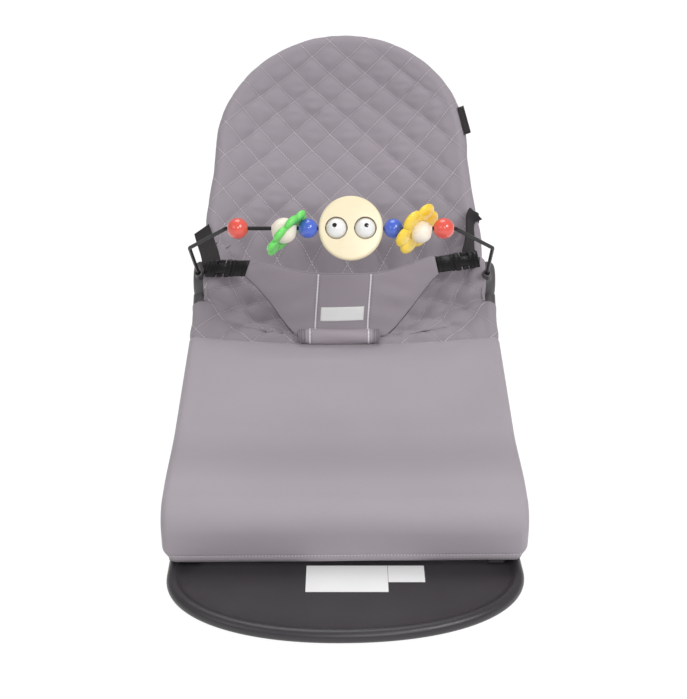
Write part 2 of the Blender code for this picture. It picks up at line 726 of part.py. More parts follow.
def make_seat_sling(cloth):
    """The seat bucket: round the hinge axis behind, reaching forward to the leg panel's fold."""
    front = leg_line(LEG_PANEL_END_Y + 15, -4)
    spoke = front - HINGE_CENTRE
    front_angle = math.atan2(-spoke.dot(BACK_UP), -spoke.dot(BACK_FRONT))
    turn_in = math.radians(62)
    angles = [math.radians(-2) + (turn_in - math.radians(-2)) * i / 6 for i in range(7)]
    angles += [turn_in + (front_angle - turn_in) * i / 5 for i in range(1, 6)]
    columns = [i / 6 - 1 for i in range(13)]
    grid = []
    for angle in angles:
        share = smooth_share((angle - turn_in) / (front_angle - turn_in))
        half = SLING_HALF_WIDTH + (SLING_FRONT_HALF_WIDTH - SLING_HALF_WIDTH) * smooth_share(share * 2.5 - 1.5)
        row = []
        for column in columns:
            depth = bucket_depth(column * SLING_HALF_WIDTH) - SLING_CLEARANCE
            row.append(around_hinge(column * half, depth + (spoke.length - depth) * share, angle))
        grid.append(row)
    add_piece("seat_sling", solid_sheet(grid, SLING_THICKNESS), cloth, "bounce_axis", 60)


def back_path():
    """The back tube's centre line as (across, along) points: a leg, the arch and a leg."""
    rise = BACK_LENGTH - ARCH_START
    arch = []
    for i in range(19):
        angle = math.pi * i / 18
        arch.append((ARCH_HALF_WIDTH * math.cos(angle), ARCH_START + rise * math.sin(angle)))
    foot = [(BACK_X, TUBE_STOP), (BACK_X, SLEEVE_REACH + 4)]
    middle = [(ARCH_HALF_WIDTH + (BACK_X - ARCH_HALF_WIDTH) * 0.4, ARCH_START - 60)]
    right = foot + middle
    left = [(-across, along) for across, along in reversed(right)]
    return right + arch + left


def on_back(across, along, behind=0.0):
    return HINGE_CENTRE + X_AXIS * across + BACK_UP * along - BACK_FRONT * behind


def make_back_frame(steel, cloth):
    path = [on_back(across, along) for across, along in back_path()]
    add_piece("back_tube", swept(path, circle(TUBE_RADIUS), BACK_FRONT), steel, "recline_axis")
    bare = SLEEVE_REACH + 3
    covered = [on_back(across, max(along, bare)) for across, along in back_path()[1:-1]]
    facing = math.radians(90)
    section = open_ring(TUBE_RADIUS + FABRIC_LIFT, FABRIC_THICKNESS, BINDING_OPENING, facing)
    add_piece("back_binding", swept(covered, section, BACK_FRONT), cloth, "recline_axis", 60)


def quilt_point(column, row, puff):
    """A quilt corner: behind the tubes by the sag, or round under the seat below the hinge."""
    across = column * QUILT_WIDTH / 2
    along = row * QUILT_HEIGHT / 2
    side = min(1.0, abs(across) / ARCH_HALF_WIDTH)
    bucket = bucket_depth(min(abs(across), ARCH_HALF_WIDTH))
    if along < 0:
        return around_hinge(across, bucket - puff, -along / QUILT_HEIGHT * BUCKET_LIP_ANGLE)
    upper = BACK_SAG * (1 - side * side)
    share = 1 - smooth_share(along / BUCKET_FADE)
    top = 1 - smooth_share((along - ARCH_START) / (BACK_LENGTH - ARCH_START))
    behind = (upper + (bucket - upper) * share) * max(top, 0.06)
    return on_back(across, along, behind - puff)


def make_back_panel(cloth):
    """The quilted panel: a raised diamond between every four stitch crossings."""
    columns = range(-7, 8)
    rows = range(-2, 16)
    shape = bmesh.new()
    front = {}
    back = {}
    for row in rows:
        for column in columns:
            raised = QUILT_PUFF if (row + column) % 2 else 0.0
            front[row, column] = shape.verts.new(quilt_point(column, row, QUILT_BASE / 2 + raised))
            back[row, column] = shape.verts.new(quilt_point(column, row, -QUILT_BASE / 2))
    for row in rows[:-1]:
        for column in columns[:-1]:
            corners = [(row, column), (row, column + 1), (row + 1, column + 1), (row + 1, column)]
            if (row + column) % 2:
                corners = corners[1:] + corners[:1]
            a, b, c, d = corners
            for face in ((a, b, c), (a, c, d)):
                shape.faces.new([front[key] for key in face])
                shape.faces.new([back[key] for key in reversed(face)])
    edge = [(rows[0], c) for c in columns] + [(r, columns[-1]) for r in rows[1:]]
    edge += [(rows[-1], c) for c in reversed(columns[:-1])] + [(r, columns[0]) for r in reversed(rows[1:-1])]
    for here, there in zip(edge, edge[1:] + edge[:1]):
        shape.faces.new([front[here], back[here], back[there], front[there]])
    bmesh.ops.recalc_face_normals(shape, faces=shape.faces)
    panel = add_piece("back_panel", shape, cloth, "recline_axis", 20)

    seam = TUBE_RADIUS + FABRIC_LIFT + FABRIC_THICKNESS + 1.2
    outline = []
    for i in range(25):
        angle = math.pi * i / 24
        across = (ARCH_HALF_WIDTH - seam) * math.cos(angle)
        outline.append(on_back(across, ARCH_START + (BACK_LENGTH - ARCH_START - seam) * math.sin(angle), 160))
    outline.append(on_back(seam - ARCH_HALF_WIDTH, -160, 160))
    outline.append(on_back(ARCH_HALF_WIDTH - seam, -160, 160))
    combine(panel, prism(outline, BACK_FRONT * 260), "INTERSECT", "recline_axis")


def make_hinges(plastic, steel):
    """Each side hinge: outer and inner discs on a bolt, with a detent washer between."""
    for name, side in SIDES.items():
        outer_start = HINGE_OUTER_FACE - HINGE_OUTER_THICKNESS
        inner_end = outer_start - HINGE_GAP
        inner_start = inner_end - HINGE_INNER_THICKNESS
        edge = HINGE_EDGE
        bore = BOLT_RADIUS + PIN_FIT
        thick = HINGE_OUTER_THICKNESS
        pocket = WASHER_THICKNESS + 0.6
        head_seat = BOLT_HEAD_DEPTH + 1.0
        outer_profile = [
            (bore, pocket),
            (WASHER_RADIUS + 0.6, pocket),
            (WASHER_RADIUS + 0.6, 0),
            (HINGE_RADIUS, 0),
            (HINGE_RADIUS, thick - edge),
            (HINGE_RADIUS - edge * 0.3, thick - edge * 0.3),
            (HINGE_RADIUS - edge, thick),
            (BOLT_HEAD_RADIUS + 1, thick),
            (BOLT_HEAD_RADIUS + 1, thick - head_seat),
            (bore, thick - head_seat),
        ]
        outward = X_AXIS * side
        seat = HINGE_CENTRE + outward * outer_start
        disc = turn_to(turned(outer_profile), outward, seat)
        outer = add_piece(f"hinge_outer_{name}", disc, plastic, "bounce_axis")
        leg_out = -hip_direction()
        sleeve_x = outward * LEG_X
        start = HINGE_CENTRE + sleeve_x + leg_out * (HINGE_RADIUS - 6)
        end = HINGE_CENTRE + sleeve_x + leg_out * SLEEVE_REACH
        combine(outer, rod(start, end, TUBE_RADIUS + SLEEVE_WALL, 16), "UNION", "bounce_axis")
        relief = HINGE_CENTRE + outward * (outer_start - 0.15)
        combine(outer, rod(relief - outward * 20, relief, HINGE_RADIUS - 1.4, DISC_SIDES), "DIFFERENCE", "bounce_axis")
        bore_start = HINGE_CENTRE + sleeve_x + leg_out * (TUBE_STOP - TOUCH_GAP)
        combine(outer, rod(bore_start, end + leg_out * 8, TUBE_RADIUS + SLIDE_FIT, 16), "DIFFERENCE", "bounce_axis")
        socket_x = outward * TOY_SOCKET_X
        start = HINGE_CENTRE + socket_x + TOY_OUT * (HINGE_RADIUS - 8)
        end = HINGE_CENTRE + socket_x + TOY_OUT * TOY_SOCKET_REACH
        combine(outer, rod(start, end, TOY_SOCKET_RADIUS), "UNION", "bounce_axis")
        start = HINGE_CENTRE + socket_x + TOY_OUT * WIRE_BORE_START
        combine(outer, rod(start, end + TOY_OUT * 8, WIRE_RADIUS + SLIDE_FIT), "DIFFERENCE", "bounce_axis")

        inner_profile = [
            (bore, 5.5),
            (BOLT_HEAD_RADIUS + 1, 5.5),
            (BOLT_HEAD_RADIUS + 1, 0),
            (HINGE_RADIUS - 2 - edge, 0),
            (HINGE_RADIUS - 2, edge),
            (HINGE_RADIUS - 2, HINGE_INNER_THICKNESS),
            (bore, HINGE_INNER_THICKNESS),
        ]
        seat = HINGE_CENTRE + outward * inner_start
        inner = add_piece(f"hinge_inner_{name}", turn_to(turned(inner_profile), outward, seat), plastic, "recline_axis")
        sleeve_x = outward * BACK_X
        start = HINGE_CENTRE + sleeve_x + BACK_UP * (HINGE_RADIUS - 8)
        end = HINGE_CENTRE + sleeve_x + BACK_UP * SLEEVE_REACH
        combine(inner, rod(start, end, TUBE_RADIUS + SLEEVE_WALL, 16), "UNION", "recline_axis")
        relief = HINGE_CENTRE + outward * (inner_end + 0.15)
        combine(inner, rod(relief, relief + outward * 20, HINGE_RADIUS + 0.6, DISC_SIDES), "DIFFERENCE", "recline_axis")
        bore_start = HINGE_CENTRE + sleeve_x + BACK_UP * (TUBE_STOP - TOUCH_GAP)
        combine(inner, rod(bore_start, end + BACK_UP * 8, TUBE_RADIUS + SLIDE_FIT, 16), "DIFFERENCE", "recline_axis")

        washer_profile = [(bore, 0), (WASHER_RADIUS, 0), (WASHER_RADIUS, WASHER_THICKNESS), (bore, WASHER_THICKNESS)]
        washer = turned(washer_profile, 16)
        turn_to(washer, outward, HINGE_CENTRE + outward * (outer_start + 0.3))
        add_piece(f"detent_washer_{name}", washer, steel, "bounce_axis")
        head_top = HINGE_OUTER_FACE - 0.6
        nut_base = inner_start + 0.8
        bolt_profile = [
            (0, nut_base),
            (BOLT_HEAD_RADIUS, nut_base),
            (BOLT_HEAD_RADIUS, nut_base + BOLT_HEAD_DEPTH),
            (BOLT_RADIUS, nut_base + BOLT_HEAD_DEPTH),
            (BOLT_RADIUS, head_top - BOLT_HEAD_DEPTH),
            (BOLT_HEAD_RADIUS, head_top - BOLT_HEAD_DEPTH),
            (BOLT_HEAD_RADIUS, head_top),
            (0, head_top),
        ]
        bolt = turn_to(turned(bolt_profile, 12), outward, HINGE_CENTRE)
        add_piece(f"pivot_bolt_{name}", bolt, steel, "bounce_axis")


RESTRAINT_UP = Vector((0, math.cos(RESTRAINT_LEAN), math.sin(RESTRAINT_LEAN)))
RESTRAINT_FRONT = Vector((0, -math.sin(RESTRAINT_LEAN), math.cos(RESTRAINT_LEAN)))


def on_restraint(x, up, forward=0.0):
    base = Vector((0, RESTRAINT_BASE_Y, RESTRAINT_BASE_Z))
    return base + X_AXIS * x + RESTRAINT_UP * up + RESTRAINT_FRONT * forward


def restraint_bow(x):
    return RESTRAINT_BOW * (1 - (x / RESTRAINT_HALF_WIDTH) ** 2)


def make_restraint(cloth, webbing):
    """The T-shaped front of the seat, its two wings reaching up to the buckles."""
    foot = RESTRAINT_FOOT_HALF_WIDTH
    wing = RESTRAINT_HALF_WIDTH
    neck = foot + 2.2
    columns = [0, 0.35 * foot, 0.7 * foot, foot, neck]
    columns += [neck + (wing - neck) * i / 6 for i in range(1, 7)]
    columns = [-x for x in reversed(columns[1:])] + columns
    rows = 5
    grid = []
    for x in columns:
        spread = max(0.0, (abs(x) - neck) / (wing - neck))
        shoulder = KEEPER_HEIGHT + 2.6
        low = 0.0 if abs(x) <= foot else shoulder + (RESTRAINT_WING_DROP - shoulder) * spread**0.9
        rise = smooth_share((abs(x) - 0.3 * foot) / (wing - 0.3 * foot))
        high = RESTRAINT_HEIGHT + (RESTRAINT_WING_HEIGHT - RESTRAINT_HEIGHT) * rise
        grid.append([on_restraint(x, low + (high - low) * i / rows, restraint_bow(x)) for i in range(rows + 1)])
    add_piece("restraint_panel", solid_sheet(grid, RESTRAINT_THICKNESS), cloth, "bounce_axis", 60)

    low_x, high_x = -KEEPER_WIDTH / 2, KEEPER_WIDTH / 2
    corners = [(low_x, -KEEPER_DEPTH / 2), (high_x, -KEEPER_DEPTH / 2), (high_x, KEEPER_DEPTH / 2), (low_x, KEEPER_DEPTH / 2)]
    middle = RESTRAINT_BOW - 1.5
    base = [on_restraint(x, 1, middle + forward) for x, forward in corners]
    keeper = add_piece("crotch_keeper", prism(base, RESTRAINT_UP * KEEPER_HEIGHT), webbing, "bounce_axis")
    room = 2.4
    wide = foot + 3
    corners = [(-wide, -KEEPER_DEPTH / 2 + room), (wide, -KEEPER_DEPTH / 2 + room)]
    corners += [(wide, KEEPER_DEPTH / 2 - room), (-wide, KEEPER_DEPTH / 2 - room)]
    hole = [on_restraint(x, -9, middle + forward) for x, forward in corners]
    combine(keeper, prism(hole, RESTRAINT_UP * (KEEPER_HEIGHT + 20)), "DIFFERENCE", "bounce_axis")


def buckle_block(x_near, x_far, low, high, thickness, bevel=1.6, segments=2):
    """A block on the restraint's plane, between two places across and two along it."""
    half = thickness / 2
    shape = box(Vector((min(x_near, x_far), low, -half)), Vector((max(x_near, x_far), high, half)), bevel, segments)
    frame = Matrix((X_AXIS, RESTRAINT_UP, RESTRAINT_FRONT)).transposed().to_4x4()
    shape.transform(Matrix.Translation(on_restraint(0, 0)) @ frame)
    return shape


def make_buckles(plastic, webbing):
    """Side-release buckles closed on the wings, their release tabs, and the webbing to the back."""
    middle = (RESTRAINT_WING_DROP + RESTRAINT_WING_HEIGHT) / 2
    low = middle - BUCKLE_WIDTH / 2
    high = middle + BUCKLE_WIDTH / 2
    for name, side in SIDES.items():
        male_near = side * (RESTRAINT_HALF_WIDTH + 1.0)
        male_far = male_near + side * BUCKLE_MALE_LENGTH
        female_near = male_far + side * 0.4
        female_far = female_near + side * BUCKLE_FEMALE_LENGTH
        male = buckle_block(male_near, male_far, low + 1, high - 1, BUCKLE_THICKNESS - 1.5)
        add_piece(f"buckle_male_{name}", male, plastic, "bounce_axis")
        shell = buckle_block(female_near, female_far, low, high, BUCKLE_THICKNESS, 2.2)
        female = add_piece(f"buckle_female_{name}", shell, plastic, "bounce_axis")
        notch_near = female_near + side * 7
        notch_far = notch_near + side * (TAB_LENGTH + 1.2)
        depth = TAB_WIDTH + TAB_TRAVEL + 0.8
        for edge, inward in (("upper", -1), ("lower", 1)):
            rim = high if edge == "upper" else low
            reach = sorted((rim - inward * 4, rim + inward * depth))
            notch = buckle_block(notch_near, notch_far, reach[0], reach[1], TAB_THICKNESS + 0.8, 0)
            combine(female, notch, "DIFFERENCE", "bounce_axis")
            seat = sorted((rim - inward * 0.6, rim + inward * TAB_WIDTH))
            tab = buckle_block(notch_near + side * 0.6, notch_far - side * 0.6, seat[0], seat[1], TAB_THICKNESS, 0.8, 1)
            carrier = f"tab_axis_{edge}_{name}"
            pivot(carrier, on_restraint((notch_near + notch_far) / 2, rim), "bounce_axis")
            add_piece(f"release_tab_{edge}_{name}", tab, plastic, carrier)

        steps = 12
        half = STRAP_WIDTH / 2
        rings = []
        for i in range(steps + 1):
            angle = STRAP_START + (STRAP_END - STRAP_START) * i / steps
            spoke = Vector((0, math.cos(angle), math.sin(angle)))
            ring = []
            for across, out in ((-half, 0), (half, 0), (half, STRAP_THICKNESS), (-half, STRAP_THICKNESS)):
                ring.append(HINGE_CENTRE + X_AXIS * (side * STRAP_X + across) + spoke * (STRAP_RADIUS + out))
            rings.append(ring)
        add_piece(f"strap_{name}", loft(rings), webbing, "recline_axis")


def toy_point(x, reach):
    return HINGE_CENTRE + X_AXIS * x + TOY_OUT * reach


def make_toy_wire(steel):
    corners = [
        toy_point(-TOY_SOCKET_X, WIRE_PLUG_START),
        toy_point(-TOY_SOCKET_X, TOY_SOCKET_REACH + 14),
        toy_point(-WIRE_BEND_X, WIRE_BEND_REACH),
        toy_point(-WIRE_BAR_HALF, WIRE_BAR_REACH),
        toy_point(WIRE_BAR_HALF, WIRE_BAR_REACH),
        toy_point(WIRE_BEND_X, WIRE_BEND_REACH),
        toy_point(TOY_SOCKET_X, TOY_SOCKET_REACH + 14),
        toy_point(TOY_SOCKET_X, WIRE_PLUG_START),
    ]
    path = rounded_path(corners, [WIRE_BEND] * 6)
    add_piece("toy_wire", swept(path, circle(WIRE_RADIUS, 8), BACK_UP), steel, "toy_axis")


def bead_shape(radius):
    """A ball with a bore for the wire, about Z."""
    start = math.asin(BEAD_BORE / radius)
    profile = []
    for i in range(BEAD_RINGS + 1):
        angle = start + (math.pi - 2 * start) * i / BEAD_RINGS
        profile.append((radius * math.sin(angle), radius * math.cos(angle)))
    return turned(profile, BEAD_SIDES)


def add_bead(name, x, radius, finish):
    centre = BAR_CENTRE + X_AXIS * x
    pivot(f"{name}_axis", centre, "toy_axis")
    add_piece(name, turn_to(bead_shape(radius), X_AXIS, centre), finish, f"{name}_axis")


def add_flower(name, carrier, ball_radius, tilt, spin, petals, finish):
    """A scalloped ring round a wooden ball, tipped on the wire."""
    start = pivots[carrier][1]
    steps = petals * 4
    rings = []
    inner = ball_radius + TOUCH_GAP
    half = FLOWER_THICKNESS / 2
    for i in range(steps):
        angle = 2 * math.pi * i / steps
        outer = FLOWER_RADIUS - PETAL_DEPTH * (1 - abs(math.cos(petals * angle / 2)))
        section = [(inner, -half + 1.5), (inner + 3, -half), (outer - 2.6, -half), (outer, 0)]
        section += [(outer - 2.6, half), (inner + 3, half), (inner, half - 1.5)]
        rings.append([Vector((r * math.cos(angle), r * math.sin(angle), z)) for r, z in section])
    shape = loft(rings, closed=True)
    normal = Vector((math.cos(tilt), math.sin(tilt) * math.cos(spin), math.sin(tilt) * math.sin(spin)))
    add_piece(name, turn_to(shape, normal, start), finish, carrier)


def make_face(cream, white):
    """The round face on the wire, with an eyeball loose in each of its two holes."""
    centre = BAR_CENTRE + X_AXIS * FACE_X
    pivot("face_axis", centre, "toy_axis")
    half = FACE_THICKNESS / 2
    profile = [
        (0, -half),
        (FACE_RADIUS - 2, -half),
        (FACE_RADIUS, -half + 2),
        (FACE_RADIUS, half - 2),
        (FACE_RADIUS - 2, half),
        (0, half),
    ]
    facing = Vector((0, -math.cos(FACE_TILT), math.sin(FACE_TILT)))
    face = add_piece("face_disc", turn_to(turned(profile, 32), facing, centre), cream, "face_axis")
    reach = X_AXIS * (FACE_RADIUS + 10)
    combine(face, rod(centre - reach, centre + reach, BEAD_BORE), "DIFFERENCE", "face_axis")
    for name, side in SIDES.items():
        eye = centre + X_AXIS * side * EYE_SPACING / 2
        hole = rod(eye - facing * 20, eye + facing * 20, EYE_RADIUS + EYE_FIT, 20)
        combine(face, hole, "DIFFERENCE", "face_axis")
        pivot(f"eye_axis_{name}", eye, "face_axis")
        ball = turn_to(bead_shape(EYE_RADIUS), X_AXIS, eye)
        add_piece(f"eyeball_{name}", ball, white, f"eye_axis_{name}")


def clear_scene():
    for item in list(bpy.data.objects):
        bpy.data.objects.remove(item, do_unlink=True)


def make_pivots():
    pivot("base", (0, 0, 0))
    pivot("link_axis", (0, FOLD_Y, FOLD_Z), "base")
    pivot("bounce_axis", (0, BOUNCE_Y, BOUNCE_Z), "link_axis")
    pivot("recline_axis", HINGE_CENTRE, "bounce_axis")
    pivot("toy_axis", BAR_CENTRE, "bounce_axis")


def centre_over_origin():
    """Moves the whole object so that its box stands centred on the origin."""
    bpy.context.view_layer.update()
    graph = bpy.context.evaluated_depsgraph_get()
    corners = []
    for item in bpy.context.scene.objects:
        if item.type == "MESH" and not item.hide_render:
            shown = item.evaluated_get(graph)
            corners.extend(item.matrix_world @ vertex.co for vertex in shown.data.vertices)
    low = Vector(min(corner[k] for corner in corners) for k in range(3))
    high = Vector(max(corner[k] for corner in corners) for k in range(3))
    middle = (low + high) / 2
    pivots["base"][0].location = (-middle.x, -middle.y, -low.z)
    bpy.context.view_layer.update()
    print("size", [round(x, 4) for x in high - low])
    for name, (empty, _) in pivots.items():
        print("pivot", name, [round(x, 5) for x in empty.matrix_world.translation])


def main():
    clear_scene()
    make_pivots()
    plate_plastic = material("plate_plastic", (0.051, 0.047, 0.055), 0.5)
    black_steel = material("black_steel", (0.02, 0.019, 0.021), 0.4, 0.3)
    bright_steel = material("bright_steel", (0.45, 0.45, 0.46), 0.3, 1.0)
    rubber = material("rubber", (0.03, 0.03, 0.03), 0.85)
    hinge_plastic = material("hinge_plastic", (0.05, 0.045, 0.05), 0.45)
    buckle_plastic = material("buckle_plastic", (0.02, 0.018, 0.02), 0.4)
    leg_cloth = material("leg_cloth", (0.40, 0.37, 0.40), 0.8)
    quilt_cloth = material("quilt_cloth", (0.36, 0.326, 0.36), 0.8)
    restraint_cloth = material("restraint_cloth", (0.31, 0.28, 0.31), 0.8)
    webbing = material("webbing", (0.07, 0.063, 0.066), 0.85)
    red = material("red_paint", (0.75, 0.09, 0.07), 0.3)
    blue = material("blue_paint", (0.03, 0.08, 0.5), 0.3)
    green = material("green_paint", (0.16, 0.68, 0.12), 0.35)
    yellow = material("yellow_paint", (0.97, 0.76, 0.14), 0.35)
    wood = material("pale_wood", (0.87, 0.78, 0.68), 0.5)
    cream = material("cream_paint", (0.97, 0.92, 0.67), 0.4)
    white = material("eye_white", (0.9, 0.9, 0.9), 0.2)

    make_foot_plate(plate_plastic)
    make_front_pads(rubber)
    make_floor_tube(black_steel, rubber)
    make_fold_hardware(bright_steel, hinge_plastic)
    make_leg_tubes(black_steel)
    make_leg_panel(leg_cloth)
    make_hip_covers(leg_cloth)
    make_seat_sling(quilt_cloth)
    make_back_frame(black_steel, quilt_cloth)
    make_back_panel(quilt_cloth)
    make_hinges(hinge_plastic, bright_steel)
    make_restraint(restraint_cloth, restraint_cloth)
    make_buckles(buckle_plastic, webbing)
    make_toy_wire(black_steel)
    add_bead("red_bead_left", RED_LEFT_X, RED_BEAD_RADIUS, red)
    add_bead("wood_ball_left", WOOD_LEFT_X, WOOD_LEFT_RADIUS, wood)
    add_flower(
        "flower_ring_green",
        "wood_ball_left_axis",
        WOOD_LEFT_RADIUS,
        FLOWER_GREEN_TILT,
        FLOWER_GREEN_SPIN,
        FLOWER_GREEN_PETALS,
        green,
    )
    add_bead("blue_bead_left", BLUE_LEFT_X, BLUE_BEAD_RADIUS, blue)
    make_face(cream, white)
    add_bead("blue_bead_right", BLUE_RIGHT_X, BLUE_BEAD_RADIUS, blue)
    add_bead("wood_ball_right", WOOD_RIGHT_X, WOOD_RIGHT_RADIUS, wood)
    add_flower(
        "flower_ring_yellow",
        "wood_ball_right_axis",
        WOOD_RIGHT_RADIUS,
        FLOWER_YELLOW_TILT,
        FLOWER_YELLOW_SPIN,
        FLOWER_YELLOW_PETALS,
        yellow,
    )
    add_bead("red_bead_right", RED_RIGHT_X, RED_BEAD_RADIUS, red)
    centre_over_origin()


main()
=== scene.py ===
"""Dresses the frame of a baby bouncer: quilted seat, leg cover, restraint with buckles, plate, tubes,
hinges and the toy bar. Lengths are metres in the frame's own axes: X to the right seen from the front,
Y from the foot plate to the head, Z up from the floor.
"""

import math

import bmesh
import bpy
from bpy.props import FloatProperty, FloatVectorProperty, IntProperty, PointerProperty
from mathutils import Matrix, Vector, noise


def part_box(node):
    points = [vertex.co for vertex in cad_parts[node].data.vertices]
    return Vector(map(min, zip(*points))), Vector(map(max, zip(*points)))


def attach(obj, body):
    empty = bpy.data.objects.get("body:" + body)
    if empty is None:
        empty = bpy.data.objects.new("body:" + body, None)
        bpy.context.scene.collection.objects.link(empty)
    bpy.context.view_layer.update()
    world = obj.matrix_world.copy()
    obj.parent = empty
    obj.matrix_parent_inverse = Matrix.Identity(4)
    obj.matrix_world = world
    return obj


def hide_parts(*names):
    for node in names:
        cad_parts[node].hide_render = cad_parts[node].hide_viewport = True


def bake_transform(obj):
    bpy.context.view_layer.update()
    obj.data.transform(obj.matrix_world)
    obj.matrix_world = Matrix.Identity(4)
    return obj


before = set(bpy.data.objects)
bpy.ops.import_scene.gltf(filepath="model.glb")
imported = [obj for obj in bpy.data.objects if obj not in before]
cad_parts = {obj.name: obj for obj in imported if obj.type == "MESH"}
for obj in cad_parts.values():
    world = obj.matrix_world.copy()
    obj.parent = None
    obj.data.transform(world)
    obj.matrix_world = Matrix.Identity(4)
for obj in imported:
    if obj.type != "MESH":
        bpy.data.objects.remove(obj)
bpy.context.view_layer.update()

bl_info = {
    "name": "Baby Bouncer",
    "version": (1, 0, 0),
    "blender": (4, 5, 0),
    "location": "3D View > Sidebar > Bouncer",
    "description": "Dresses the frame of a baby bouncer in cloth, plastic, steel and painted wood",
    "category": "Object",
}

SIDES = {"left": -1, "right": 1}
X_AXIS = Vector((1, 0, 0))
Y_AXIS = Vector((0, 1, 0))
Z_AXIS = Vector((0, 0, 1))

# The front edge of the foot plate, and the axis of the side hinges
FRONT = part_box("foot_plate")[0].y
BOLT_LOW, BOLT_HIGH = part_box("pivot_bolt_right")
HINGE = Vector((0, (BOLT_LOW.y + BOLT_HIGH.y) / 2, (BOLT_LOW.z + BOLT_HIGH.z) / 2))

# Slopes in the side view, and the directions that follow from them
BACK_SLOPE = math.radians(47.5)
LEG_SLOPE = math.radians(12.4)
TOY_SLOPE = math.radians(36.5)
RESTRAINT_LEAN = math.radians(76.0)


def along(slope):
    """The direction that rises to the back by a slope."""
    return Vector((0, math.cos(slope), math.sin(slope)))


def square_to(slope):
    """The direction square to a slope, on its upper front side."""
    return Vector((0, -math.sin(slope), math.cos(slope)))


BACK_UP = along(BACK_SLOPE)
BACK_FRONT = square_to(BACK_SLOPE)
TOY_OUT = Vector((0, -math.cos(TOY_SLOPE), math.sin(TOY_SLOPE)))
RESTRAINT_UP = along(RESTRAINT_LEAN)
RESTRAINT_FRONT = square_to(RESTRAINT_LEAN)
RESTRAINT_FOOT = Vector((0, FRONT + 0.439, 0.155))

# Tubes
TUBE_RADIUS = 0.008
LEG_X = 0.186
LEG_FOOT_X = 0.182
KNEE = Vector((0, FRONT + 0.1235, 0.0753))
BOUNCE_PIN = Vector((0, FRONT + 0.132, 0.0405))
HIP_Y = FRONT + 0.430
TUBE_STOP = 0.037
BACK_X = 0.170
ARCH_START = 0.190
ARCH_HALF_WIDTH = 0.158
BACK_LENGTH = 0.350
ARCH_FULLNESS = 2.03
BACK_LEAN = 0.004
FLOOR_TUBE_RADIUS = 0.007
FLOOR_TUBE_HEIGHT = FLOOR_TUBE_RADIUS + 0.005
FLOOR_HALF_SPAN = 0.150
FLOOR_REAR = FRONT + 0.630

# Toy bar
WIRE_RADIUS = 0.0022
BAR_REACH = 0.235
WIRE_PLACES = {
    "left": ((0.1852, 0.030), (0.1828, 0.156), (0.1325, BAR_REACH)),
    "right": ((0.1812, 0.030), (0.1750, 0.156), (0.1238, BAR_REACH)),
}
SOCKET_X = {"left": 0.1850, "right": 0.1808}
SOCKET_REACH = 0.044
BAR_CENTRE = HINGE + TOY_OUT * BAR_REACH
FACE_TILT = math.radians(25.0)
FACE_FRONT = Vector((0, -math.cos(FACE_TILT), math.sin(FACE_TILT)))

# How far outside the tube's skin the cloth's outer face runs
CLOTH_LIFT = 0.0026
COVER_LIFT = 0.00195
CLOTH_WRAP = TUBE_RADIUS + CLOTH_LIFT
COVER_WRAP = TUBE_RADIUS + COVER_LIFT


def smooth_share(value):
    value = min(1.0, max(0.0, value))
    return value * value * (3 - 2 * value)


def blended(first, second, share):
    return first + (second - first) * share


def squarer(value, power):
    """A sine or cosine pushed outwards, so that what it draws is squarer than a circle."""
    return math.copysign(abs(value) ** power, value)


def uneven(across, up, seed):
    """Smooth noise over the cloth, each seed with its own."""
    return noise.noise(Vector((across, up, seed)))


def rounded(corners, bends, step=math.radians(6)):
    """A path of straight runs whose inner corners are arcs of the given radii."""
    path = [corners[0]]
    for before, corner, after, bend in zip(corners, corners[1:], corners[2:], bends):
        into = (corner - before).normalized()
        away = (after - corner).normalized()
        turn = into.angle(away)
        tangent = bend * math.tan(turn / 2)
        centre = corner + (away - into).normalized() * (bend / math.cos(turn / 2))
        first = corner - into * tangent - centre
        last = corner + away * tangent - centre
        steps = max(2, math.ceil(turn / step))
        for i in range(steps + 1):
            share = i / steps
            near = math.sin((1 - share) * turn) / math.sin(turn)
            far = math.sin(share * turn) / math.sin(turn)
            path.append(centre + first * near + last * far)
    path.append(corners[-1])
    return path


def spaced(path, step):
    """The same path with points no further apart than the step."""
    dense = [path[0]]
    for point in path[1:]:
        count = max(1, math.ceil((point - dense[-1]).length / step))
        first = dense[-1]
        dense.extend(first.lerp(point, (i + 1) / count) for i in range(count))
    return dense


def through(points, place):
    """A smooth curve through a list of values, read at a place counted in list steps."""
    last = len(points) - 1
    index = min(int(max(place, 0)), last - 1)
    share = place - index
    p0 = points[max(index - 1, 0)]
    p1 = points[index]
    p2 = points[index + 1]
    p3 = points[min(index + 2, last)]
    bend = p0 * 2 - p1 * 5 + p2 * 4 - p3
    rest = p1 * 3 - p0 - p2 * 3 + p3
    return (p1 * 2 + (p2 - p0) * share + bend * share**2 + rest * share**3) * 0.5


# Routes and places on the frame


def leg_line(y, lift=0.0):
    """A point on the leg tube's long upper run, or lifted square off it."""
    point = Vector((0, y, KNEE.z + math.tan(LEG_SLOPE) * (y - KNEE.y)))
    return point + square_to(LEG_SLOPE) * lift


HIP_CORNER = leg_line(HIP_Y)
HIP_UP = (HINGE - HIP_CORNER).normalized()
HIP_SLOPE = math.atan2(HIP_UP.z, HIP_UP.y)


def on_hip(reach, x=0.0):
    """A point down the leg tube's last run, at a reach from the hinge axis."""
    return HINGE - HIP_UP * reach + X_AXIS * x


def leg_route(side):
    foot = BOUNCE_PIN + (KNEE - BOUNCE_PIN).normalized() * 0.009
    corners = [foot, KNEE, HIP_CORNER, on_hip(TUBE_STOP)]
    path = spaced(rounded(corners, (0.024, 0.030)), 0.02)
    top = leg_line(KNEE.y + 0.06).z
    for point in path:
        share = smooth_share((point.z - foot.z) / (top - foot.z))
        point.x = side * blended(LEG_FOOT_X, LEG_X, share)
    return path


def on_back(across, up, front=0.0):
    return HINGE + X_AXIS * across + BACK_UP * up + BACK_FRONT * front


